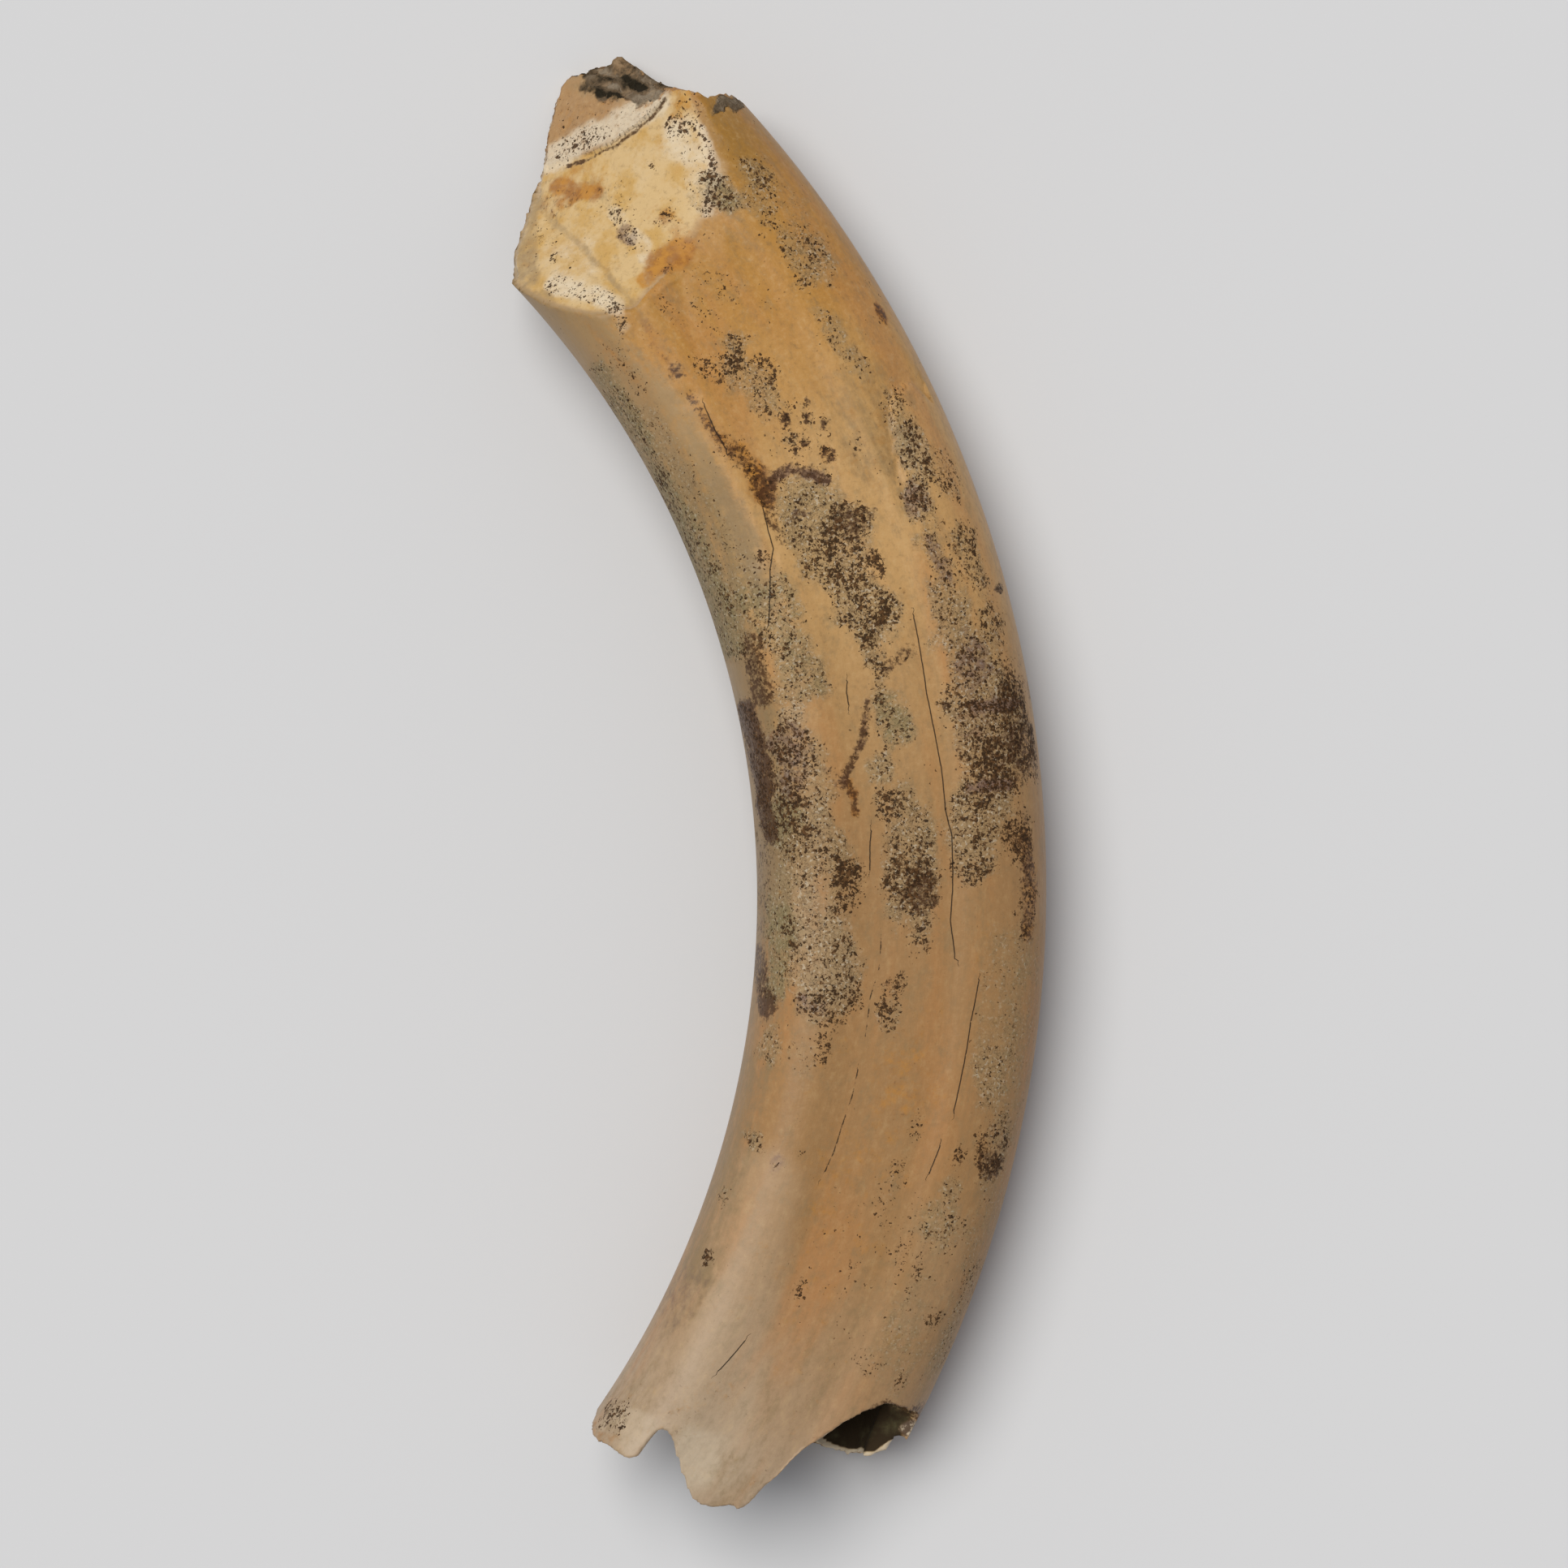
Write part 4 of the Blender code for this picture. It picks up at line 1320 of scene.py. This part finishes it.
class Signal:
    """A socket's value. Plain arithmetic on it adds the nodes that work it out."""

    def __init__(self, graph: "Graph", socket: bpy.types.NodeSocket) -> None:
        """Wraps a socket of a graph."""
        self.graph = graph
        self.socket = socket

    def maths(self, operation: str, *values: Union["Signal", Number]) -> "Signal":
        """One Math node on the given values."""
        return self.graph.node("ShaderNodeMath", {"operation": operation}, dict(enumerate(values)))

    def __add__(self, other: Union["Signal", Number]) -> "Signal":
        """This value plus another."""
        return self.maths("ADD", self, other)

    def __radd__(self, other: Number) -> "Signal":
        """A number plus this value."""
        return self.maths("ADD", other, self)

    def __sub__(self, other: Union["Signal", Number]) -> "Signal":
        """This value less another."""
        return self.maths("SUBTRACT", self, other)

    def __rsub__(self, other: Number) -> "Signal":
        """A number less this value."""
        return self.maths("SUBTRACT", other, self)

    def __mul__(self, other: Union["Signal", Number]) -> "Signal":
        """This value times another."""
        return self.maths("MULTIPLY", self, other)

    def __rmul__(self, other: Number) -> "Signal":
        """A number times this value."""
        return self.maths("MULTIPLY", other, self)

    def size(self) -> "Signal":
        """This value without its sign."""
        return self.maths("ABSOLUTE", self)

    def most(self, other: Union["Signal", Number]) -> "Signal":
        """The larger of this value and another."""
        return self.maths("MAXIMUM", self, other)

    def step(self, low: Union["Signal", Number], high: Union["Signal", Number]) -> "Signal":
        """Rises smoothly from 0 at low to 1 at high.

        Args:
            low: The value that gives 0.
            high: The value that gives 1. It may be the smaller one, for a fall.

        Returns:
            The share, from 0 to 1.
        """
        sockets = {"Value": self, "From Min": low, "From Max": high}
        return self.graph.node("ShaderNodeMapRange", {"interpolation_type": "SMOOTHSTEP"}, sockets)


Value = Union[Signal, Number, Sequence[float]]


@dataclass(frozen=True)
class Grain:
    """A noise: its waves a metre, how many finer layers it has, and how strong these are.

    Three numbers of waves are for the three axes.
    """

    waves: Union[float, tuple[float, float, float]]
    detail: float = 2.0
    rough: float = 0.5


class Graph:
    """A material's node tree, filled by short calls."""

    def __init__(self, name: str) -> None:
        """Makes a material with an empty tree.

        Args:
            name: The material's name.
        """
        self.material = bpy.data.materials.new(name)
        self.material.use_nodes = True
        self.tree = self.material.node_tree
        self.tree.nodes.clear()

    def node(
        self, kind: str, settings: dict, sockets: dict, output: Union[int, str, None] = 0,
    ) -> Signal:
        """Adds a node.

        Args:
            kind: The node's type.
            settings: Its own properties, which are set first.
            sockets: Values or signals for its inputs, by name or number.
            output: The output that is wanted, by name or number, or None for a node without one.

        Returns:
            That output as a signal.
        """
        made = self.tree.nodes.new(kind)
        for name, value in settings.items():
            setattr(made, name, value)
        for name, value in sockets.items():
            if isinstance(value, Signal):
                self.tree.links.new(value.socket, made.inputs[name])
            else:
                made.inputs[name].default_value = value
        return Signal(self, None if output is None else made.outputs[output])

    def finish(self, shader: Signal) -> bpy.types.Material:
        """Gives the material its surface and returns it."""
        self.node("ShaderNodeOutputMaterial", {}, {"Surface": shader}, None)
        return self.material

    def read(self, layer: Layer) -> Signal:
        """The value of a point attribute."""
        return self.node("ShaderNodeAttribute", {"attribute_name": layer.value}, {}, "Fac")

    def noise(self, place: Signal, grain: Grain) -> Signal:
        """Noise from 0 to 1 at a place.

        Args:
            place: The coordinates, in metres.
            grain: What the noise is like.

        Returns:
            The noise.
        """
        waves = grain.waves
        if isinstance(waves, tuple):
            settings = {"operation": "MULTIPLY"}
            place = self.node("ShaderNodeVectorMath", settings, {0: place, 1: waves})
            waves = 1.0
        sockets = {"Vector": place, "Scale": waves}
        sockets |= {"Detail": grain.detail, "Roughness": grain.rough}
        return self.node("ShaderNodeTexNoise", {"noise_dimensions": "3D"}, sockets, "Fac")

    def warped(self, place: Signal, scale: float, reach: float) -> Signal:
        """A place pushed about by noise.

        Args:
            place: The coordinates, in metres.
            scale: Waves of the noise a metre.
            reach: How far it pushes, in metres.

        Returns:
            The shifted coordinates.
        """
        sockets = {"Vector": place, "Scale": scale, "Detail": 1.0}
        push = self.node("ShaderNodeTexNoise", {"noise_dimensions": "3D"}, sockets, "Color")
        settings = {"operation": "MULTIPLY_ADD"}
        return self.node("ShaderNodeVectorMath", settings, {0: push, 1: (reach,) * 3, 2: place})

    def dots(self, place: Signal, scale: float, density: Signal) -> Signal:
        """Specks, each where a cell's own random number is below the density.

        Args:
            place: The coordinates, in metres.
            scale: Cells a metre.
            density: The share of cells that have a speck, which also sets how large they grow.

        Returns:
            How much each point belongs to a speck.
        """
        sockets = {"Vector": place, "Scale": scale}
        made = self.node("ShaderNodeTexVoronoi", {"feature": "F1"}, sockets)
        colour = Signal(self, made.socket.node.outputs["Color"])
        chance = self.node("ShaderNodeSeparateColor", {}, {"Color": colour})
        spare = density - chance
        return (spare * 0.3 + 0.22 - made).step(-0.04, 0.05) * spare.step(0.0, 0.08)

    def mix(self, share: Value, first: Value, second: Value, blend: str = "MIX") -> Signal:
        """A colour between two.

        Args:
            share: How much of the second, from 0 to 1.
            first: The colour under it.
            second: The colour over it.
            blend: How the second is laid on.

        Returns:
            The mixed colour.
        """
        settings = {"data_type": "RGBA", "blend_type": blend}
        return self.node("ShaderNodeMix", settings, {"Factor": share, 6: first, 7: second}, 2)


def paint(red: float, green: float, blue: float) -> tuple[float, float, float, float]:
    """A colour for the shader from one as it looks on a screen, 0 to 255.

    Args:
        red: The red part.
        green: The green part.
        blue: The blue part.

    Returns:
        The linear colour, opaque.
    """
    def linear(part: float) -> float:
        """One part, undone from the screen's curve."""
        share = part / 255.0
        return share / 12.92 if share <= 0.04045 else ((share + 0.055) / 1.055) ** 2.4

    return linear(red), linear(green), linear(blue), 1.0


Colour = tuple[float, float, float, float]


@dataclass(frozen=True)
class Ground:
    """What every layer of the finish is laid by: places on the tooth, and two noises."""

    graph: Graph
    place: Signal
    growth: Signal
    fine: Signal
    broad: Signal


@dataclass(frozen=True)
class FossilFinish:
    """The fossil dentine: tan and half glossy, with stains, speckle, wear bands and cracks."""

    root: Colour = paint(172, 148, 120)
    lower: Colour = paint(160, 121, 77)
    middle: Colour = paint(193, 151, 95)
    upper: Colour = paint(182, 131, 62)
    shoulder: Colour = paint(146, 106, 42)
    blush: Colour = paint(182, 124, 70)
    # Flank and ashen colour the shade layer: grey cement and painted shade on the flank that turns
    # away. Flank also tints the fibres and smudges.
    flank: Colour = paint(134, 112, 78)
    ashen: Colour = paint(158, 132, 94)
    freckle: Colour = paint(120, 92, 58)
    fleck: Colour = paint(216, 184, 134)
    cream: Colour = paint(208, 176, 124)
    butter: Colour = paint(198, 158, 92)
    bone: Colour = paint(222, 206, 178)
    cement: Colour = paint(176, 142, 102)
    tip: Colour = paint(170, 132, 88)
    haze: Colour = paint(152, 130, 94)
    grime: Colour = paint(94, 72, 46)
    chalk: Colour = paint(202, 188, 162)
    moss: Colour = paint(118, 112, 76)
    lilac: Colour = paint(100, 76, 78)
    rust: Colour = paint(150, 92, 32)
    amber: Colour = paint(184, 124, 46)
    crust: Colour = paint(68, 40, 18)
    speck: Colour = paint(48, 30, 13)
    speck_soft: Colour = paint(94, 64, 35)
    # Rock colours: the pale one also paints light on the ledges, the dark one also paints shade in
    # the hollows.
    rock_pale: Colour = paint(150, 134, 112)
    rock_brown: Colour = paint(108, 90, 68)
    rock_dark: Colour = paint(46, 40, 28)
    # Painted shade for the inside of the root's hollow.
    hollow_shade: Colour = paint(58, 46, 30)
    crack: Colour = paint(34, 24, 16)
    fine: Grain = Grain(900.0, 4.0, 0.62)
    broad: Grain = Grain(130.0, 3.0, 0.55)
    drift: Grain = Grain(45.0)
    bands: Grain = Grain((28.0, 160.0, 160.0), 3.0, 0.6)
    fibre: Grain = Grain((500.0, 800.0, 800.0), 4.0, 0.7)
    smudges: Grain = Grain((220.0, 340.0, 340.0), 5.0, 0.75)
    mottle: Grain = Grain(1300.0, 5.0, 0.72)
    core: Grain = Grain(210.0, 4.0, 0.65)
    blotches: Grain = Grain(330.0, 4.0, 0.7)
    grit: Grain = Grain(1700.0, 3.0, 0.65)
    runs: Grain = Grain((110.0, 620.0, 620.0), 3.0, 0.65)
    veins: Grain = Grain(1250.0, 3.0, 0.6)
    powder: Grain = Grain(2300.0, 2.0, 0.5)
    clouds: Grain = Grain(420.0, 4.0, 0.7)
    clumps: Grain = Grain(420.0, 3.0, 0.6)
    strays: Grain = Grain(110.0, 3.0, 0.6)
    crowds: Grain = Grain(1500.0, 3.0, 0.72)
    speck_tones: Grain = Grain(2400.0, 3.0, 0.7)
    speck_cells: tuple[float, float] = (1550.0, 2700.0)
    speck_warp: float = 2400.0
    speck_warp_reach: float = 0.0006
    rock_grain: Grain = Grain(900.0, 4.0, 0.65)
    hollow_shade_grain: Grain = Grain(260.0, 4.0, 0.6)
    growth_lines: Grain = Grain((60.0, 900.0, 900.0), 3.0, 0.55)
    skin_grain: Grain = Grain(3200.0, 2.0, 0.5)
    rock_lumps: Grain = Grain(900.0, 5.0, 0.7)
    dents: Grain = Grain(340.0, 2.0, 0.5)
    blush_share: float = 0.5
    fibre_share: float = 0.34
    smudge_share: float = 0.4
    cream_share: float = 0.18
    freckle_share: float = 0.5
    fleck_share: float = 0.26
    bone_share: float = 0.8
    shade_share: float = 0.78
    haze_share: float = 0.6
    grime_share: float = 0.7
    chalk_share: float = 0.55
    moss_share: float = 0.45
    lilac_share: float = 0.55
    rust_share: float = 0.85
    crust_share: float = 0.88
    speck_share: float = 0.95
    crack_share: float = 0.9
    rock_rust_share: float = 0.6
    hollow_moss_share: float = 0.5
    line_height: float = 0.06
    fine_height: float = 0.06
    grain_height: float = 0.01
    dent_height: float = 0.12
    rock_height: float = 0.7
    crack_depth: float = 0.12
    rough: float = 0.42
    rock_rough: float = 0.86
    bloom_rough: float = 0.16
    speck_rough: float = 0.2
    fine_rough: float = 0.1
    shine: float = 0.12
    polish: float = 0.2
    polish_blur: float = 0.45

    def material(self) -> bpy.types.Material:
        """Makes the material.

        Returns:
            The material, ready for the tooth.
        """
        graph = Graph("fossil_dentine")
        place = graph.node("ShaderNodeTexCoord", {}, {}, "Object")
        growth = graph.node("ShaderNodeAttribute", {"attribute_name": "growth"}, {}, "Vector")
        fine = graph.noise(place, self.fine)
        broad = graph.noise(place, self.broad)
        at = Ground(graph, place, growth, fine, broad)
        colour = self.worn_colour(at, self.body_colour(at))
        colour = self.stained(at, self.mottled(at, colour))
        speck = self.specks(at)
        tone = graph.noise(place, self.speck_tones).step(0.46, 0.62)
        dark = graph.mix(tone, self.speck, self.speck_soft)
        colour = graph.mix(speck * self.speck_share, colour, dark)
        rock = (graph.read(Layer.ROCK) + (broad - 0.5) * 0.5 + (fine - 0.5) * 0.6).step(0.25, 0.65)
        colour = graph.mix(rock, colour, self.rock_colour(at))
        # Painted shade inside the root's hollow.
        hollow = graph.read(Layer.HOLLOW).step(0.2, 0.8)
        colour = graph.mix(hollow, colour, self.hollow_shade_colour(at))
        crack = self.crack_line(at)
        colour = graph.mix(crack * self.crack_share, colour, self.crack)
        bloom = graph.read(Layer.BLOOM)
        rough = self.rough + self.bloom_rough * bloom + self.speck_rough * speck
        rough = rough + self.fine_rough * (fine - 0.5)
        rough = rough + (self.rock_rough - rough) * rock.most(hollow)
        normal = self.relief(at, rock, crack)
        polish = (1.0 - rock.most(hollow)) * (1.0 - speck.most(bloom * 0.7)) * self.polish
        sockets = {"Base Color": colour, "Roughness": rough, "Normal": normal}
        sockets |= {"Specular IOR Level": self.shine}
        sockets |= {"Coat Weight": polish, "Coat Roughness": self.polish_blur}
        return graph.finish(graph.node("ShaderNodeBsdfPrincipled", {}, sockets))

    def body_colour(self, at: Ground) -> Signal:
        """The tan of the outside, warmer towards the crown and paler towards the root.

        Args:
            at: The places and noises that a layer is laid by.

        Returns:
            The colour.
        """
        graph = at.graph
        along = graph.read(Layer.ALONG) + (graph.noise(at.place, self.drift) - 0.5) * 0.12
        colour = graph.mix(along.step(0.0, 0.22), self.root, self.lower)
        colour = graph.mix(along.step(0.42, 0.66), colour, self.middle)
        colour = graph.mix(along.step(0.68, 0.8), colour, self.upper)
        colour = graph.mix(along.step(0.8, 0.97), colour, self.shoulder)
        bands = graph.noise(at.growth, self.bands)
        colour = graph.mix(bands.step(0.44, 0.72) * self.blush_share, colour, self.blush)
        fibre = graph.noise(at.growth, self.fibre)
        colour = graph.mix(fibre.step(0.48, 0.72) * self.fibre_share, colour, self.flank)
        smudges = graph.noise(at.growth, self.smudges)
        colour = graph.mix(smudges.step(0.52, 0.7) * self.smudge_share, colour, self.flank)
        return graph.mix(fibre.step(0.5, 0.25) * self.cream_share, colour, self.cream)

    def mottled(self, at: Ground, colour: Signal) -> Signal:
        """Fine light and dark mottling, stronger towards the crown.

        Args:
            at: The places and noises that a layer is laid by.
            colour: The colour under it.

        Returns:
            The mottled colour.
        """
        graph = at.graph
        rise = 0.35 + 0.65 * graph.read(Layer.ALONG).step(0.3, 0.8)
        mottle = graph.noise(at.place, self.mottle)
        dark = mottle.step(0.5, 0.78) * rise * self.freckle_share
        colour = graph.mix(dark, colour, self.freckle)
        return graph.mix(mottle.step(0.5, 0.24) * rise * self.fleck_share, colour, self.fleck)

    def worn_colour(self, at: Ground, colour: Signal) -> Signal:
        """The layers that wear and breaks lay bare: outer cement, hard white band, cream core.

        Args:
            at: The places and noises that a layer is laid by.
            colour: The colour under it.

        Returns:
            The colour with these layers on it.
        """
        graph = at.graph
        depth = graph.read(Layer.DEPTH) + (at.fine - 0.5) * 0.5 + (at.broad - 0.5) * 0.5
        wear = graph.read(Layer.WEAR).step(0.1, 0.7)
        buttery = graph.noise(at.place, self.core).step(0.42, 0.62)
        core = graph.mix(buttery, self.cream, self.butter)
        layers = graph.mix(depth.step(0.3, 1.3), self.cement, core)
        colour = graph.mix(wear, colour, layers)
        colour = graph.mix(graph.read(Layer.TIP).step(0.2, 0.8), colour, self.tip)
        layer = graph.read(Layer.PALE)
        uneven = ((at.fine - 0.5) * 1.1 + (at.broad - 0.5) * 0.5) * layer.step(0.35, 0.8)
        crown = graph.read(Layer.ALONG).step(0.6, 0.75)
        blotch = (graph.noise(at.place, self.blotches) - 0.5) * layer.step(0.1, 0.4) * crown * 1.5
        pale = (layer + uneven + blotch * (1.4 - layer)).step(0.05, 1.0)
        return graph.mix(pale * self.bone_share, colour, self.bone)

    def stained(self, at: Ground, colour: Signal) -> Signal:
        """Lays the shade layer's grey and painted shade, grey bloom, green, lilac, rust and brown
        crust over a colour.

        Args:
            at: The places and noises that a layer is laid by.
            colour: The colour under it.

        Returns:
            The stained colour.
        """
        graph = at.graph
        ragged = (at.fine - 0.5) * 1.1 + (at.broad - 0.5) * 0.7
        grit = graph.noise(at.place, self.grit)
        runs = graph.noise(at.growth, self.runs) - 0.5
        # The shade layer: grey cement and painted shade on the flank that turns away, and the
        # shade marks, painted shadows among them.
        shade = (graph.read(Layer.SHADE) + ragged * 0.9 + runs * 1.2).step(0.1, 1.0)
        ash = graph.mix(graph.read(Layer.ALONG).step(0.69, 0.77), self.flank, self.ashen)
        colour = graph.mix(shade * self.shade_share, colour, ash)
        bloom = (graph.read(Layer.BLOOM) + ragged + runs * 0.7).step(0.15, 1.05)
        colour = graph.mix(bloom * self.haze_share, colour, self.haze)
        veins = 1.0 - (graph.noise(at.place, self.veins) - 0.5).size().step(0.0, 0.05)
        colour = graph.mix(veins * bloom * self.grime_share, colour, self.grime)
        powder = graph.noise(at.place, self.powder).step(0.56, 0.68)
        colour = graph.mix(powder * bloom * self.chalk_share, colour, self.chalk)
        green = (graph.read(Layer.GREEN) + ragged).step(0.35, 0.95)
        colour = graph.mix(green * self.moss_share, colour, self.moss)
        lilac = (graph.read(Layer.LILAC) + ragged).step(0.35, 0.9)
        colour = graph.mix(lilac * self.lilac_share, colour, self.lilac)
        clouds = graph.noise(at.place, self.clouds) - 0.5
        rust = graph.read(Layer.RUST) + (at.broad - 0.5) * 0.8 + (at.fine - 0.5) + clouds
        rusty = graph.mix(clouds.step(-0.1, 0.12), self.rust, self.amber)
        colour = graph.mix(rust.step(0.12, 0.95) * self.rust_share, colour, rusty)
        crust = (graph.read(Layer.CRUST) + ragged * 0.5 + (grit - 0.5) * 2.2).step(0.33, 0.9)
        return graph.mix(crust * self.crust_share, colour, self.crust)

    def specks(self, at: Ground) -> Signal:
        """Fine dark mineral specks that crowd together where the speckle layer is strong.

        Args:
            at: The places and noises that a layer is laid by.

        Returns:
            How much each point belongs to a speck.
        """
        graph = at.graph
        clump = graph.noise(at.place, self.clumps).step(0.3, 0.7)
        stray = graph.noise(at.place, self.strays).step(0.42, 0.75)
        stray = stray * (0.12 + 0.14 * graph.read(Layer.ALONG).step(0.35, 0.7))
        layer = graph.read(Layer.SPECKLE)
        density = layer * (0.15 + 0.4 * layer + 0.6 * clump) + stray * clump
        ragged = graph.warped(at.place, self.speck_warp, self.speck_warp_reach)
        grains = graph.noise(ragged, self.crowds) + density * 0.2
        specks = grains.step(0.66, 0.72) * layer.step(0.1, 0.35)
        for cells in self.speck_cells:
            specks = specks.most(graph.dots(ragged, cells, density))
        return specks

    def rock_colour(self, at: Ground) -> Signal:
        """Grey-brown sediment with rusty high places, painted light on its pale ledges and painted
        shade in its black hollows and low places.

        Args:
            at: The places and noises that a layer is laid by.

        Returns:
            The colour.
        """
        graph = at.graph
        grain = graph.noise(at.place, self.rock_grain) - 0.5
        # Painted shade darkens the rock's low places and shadow marks, and painted light lifts its
        # lit ledge marks, over a random grain.
        tone = 0.85 - 0.4 * graph.read(Layer.PIT) - 0.8 * graph.read(Layer.SHADE)
        tone = tone + 0.5 * graph.read(Layer.PALE) + grain * 1.5
        colour = graph.mix(tone.step(0.05, 0.6), self.rock_dark, self.rock_brown)
        colour = graph.mix(tone.step(0.6, 1.3), colour, self.rock_pale)
        rusty = (graph.read(Layer.RUST) + grain).step(0.2, 0.9)
        return graph.mix(rusty * tone.step(0.2, 0.8) * self.rock_rust_share, colour, self.cement)

    def hollow_shade_colour(self, at: Ground) -> Signal:
        """Painted shade on the wall inside the root's hollow: dark brown, olive in places."""
        grain = at.graph.noise(at.place, self.hollow_shade_grain)
        return at.graph.mix(grain.step(0.5, 0.8) * self.hollow_moss_share, self.hollow_shade, self.moss)

    def crack_line(self, at: Ground) -> Signal:
        """Hairline cracks, broken here and there.

        Args:
            at: The places and noises that a layer is laid by.

        Returns:
            How much each point belongs to a crack.
        """
        gap = (at.graph.read(Layer.CRACK_SIDE) + (at.fine - 0.5) * 0.16).size()
        hold = at.graph.read(Layer.CRACK_HOLD)
        return (1.0 - gap.step(0.02, 0.1)) * (hold + (at.fine - 0.5) * 1.3).step(0.25, 0.5)

    def relief(self, at: Ground, rock: Signal, crack: Signal) -> Signal:
        """The small relief, in millimetres: growth lines, grain, dents, rock and cracks.

        Args:
            at: The places and noises that a layer is laid by.
            rock: How much each point is rock.
            crack: How much it belongs to a crack.

        Returns:
            The shading normal.
        """
        graph = at.graph
        lines = graph.noise(at.growth, self.growth_lines)
        grain = graph.noise(at.place, self.skin_grain)
        lumps = graph.noise(at.place, self.rock_lumps)
        dents = graph.noise(at.place, self.dents)
        height = lines * self.line_height + at.fine * self.fine_height
        height = height + grain * self.grain_height + dents * self.dent_height
        height = height + rock * lumps * self.rock_height - crack * self.crack_depth
        sockets = {"Strength": 1.0, "Distance": MM, "Height": height}
        return graph.node("ShaderNodeBump", {}, sockets)


@dataclass(frozen=True)
class Studio:
    """A pale floor, soft lights and the camera of the photograph."""

    picture: Picture
    floor_side: float = 8.0
    floor_tone: float = 0.66
    key_turn: tuple[float, float, float] = (math.radians(-17.0), math.radians(-16.0), 0.0)
    key_strength: float = 2.45
    key_softness: float = math.radians(38.0)
    surround_strength: float = 0.32
    lens: float = 150.0
    sensor: float = 36.0

    def build(self) -> None:
        """Makes the floor, the lights and the camera."""
        self.make_floor()
        self.make_lights()
        self.make_camera()

    def make_floor(self) -> None:
        """A plain pale floor that the tooth lies on."""
        bpy.ops.mesh.primitive_plane_add(size=self.floor_side, location=(0.0, 0.0, 0.0))
        floor = bpy.context.object
        floor.name = "studio_floor"
        graph = Graph("pale_floor")
        tone = (self.floor_tone, self.floor_tone * 0.99, self.floor_tone * 0.97, 1.0)
        shader = graph.node("ShaderNodeBsdfPrincipled", {}, {"Base Color": tone, "Roughness": 0.9})
        floor.data.materials.append(graph.finish(shader))

    def make_lights(self) -> None:
        """A broad soft key from the upper left and a pale surround."""
        bpy.ops.object.light_add(type="SUN", rotation=self.key_turn)
        key = bpy.context.object
        key.name = "key"
        key.data.energy = self.key_strength
        key.data.angle = self.key_softness
        world = bpy.data.worlds.new("studio_surround")
        world.use_nodes = True
        surround = world.node_tree.nodes["Background"]
        surround.inputs["Color"].default_value = (0.9, 0.92, 1.0, 1.0)
        surround.inputs["Strength"].default_value = self.surround_strength
        bpy.context.scene.world = world

    def make_camera(self) -> None:
        """The camera, straight above the tooth."""
        x, y = self.picture.aim
        bpy.context.scene.view_settings.view_transform = "Standard"
        height = self.picture.distance + self.picture.level
        bpy.ops.object.camera_add(location=(x * MM, y * MM, height * MM), rotation=(0.0, 0.0, 0.0))
        camera = bpy.context.object
        camera.name = "photo_camera"
        camera.data.lens = self.lens
        camera.data.sensor_width = self.sensor
        bpy.context.scene.camera = camera


def main() -> None:
    """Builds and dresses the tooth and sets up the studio."""
    tooth = FossilTooth(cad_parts["tooth"])
    piece = tooth.build()
    piece.data.materials.clear()
    piece.data.materials.append(FossilFinish().material())
    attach(piece, "root")
    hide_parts("tooth")
    piece.data.calc_loop_triangles()
    log.info("%s: %d triangles", piece.name, len(piece.data.loop_triangles))
    Studio(Picture()).build()


if __name__ == "__main__":
    main()
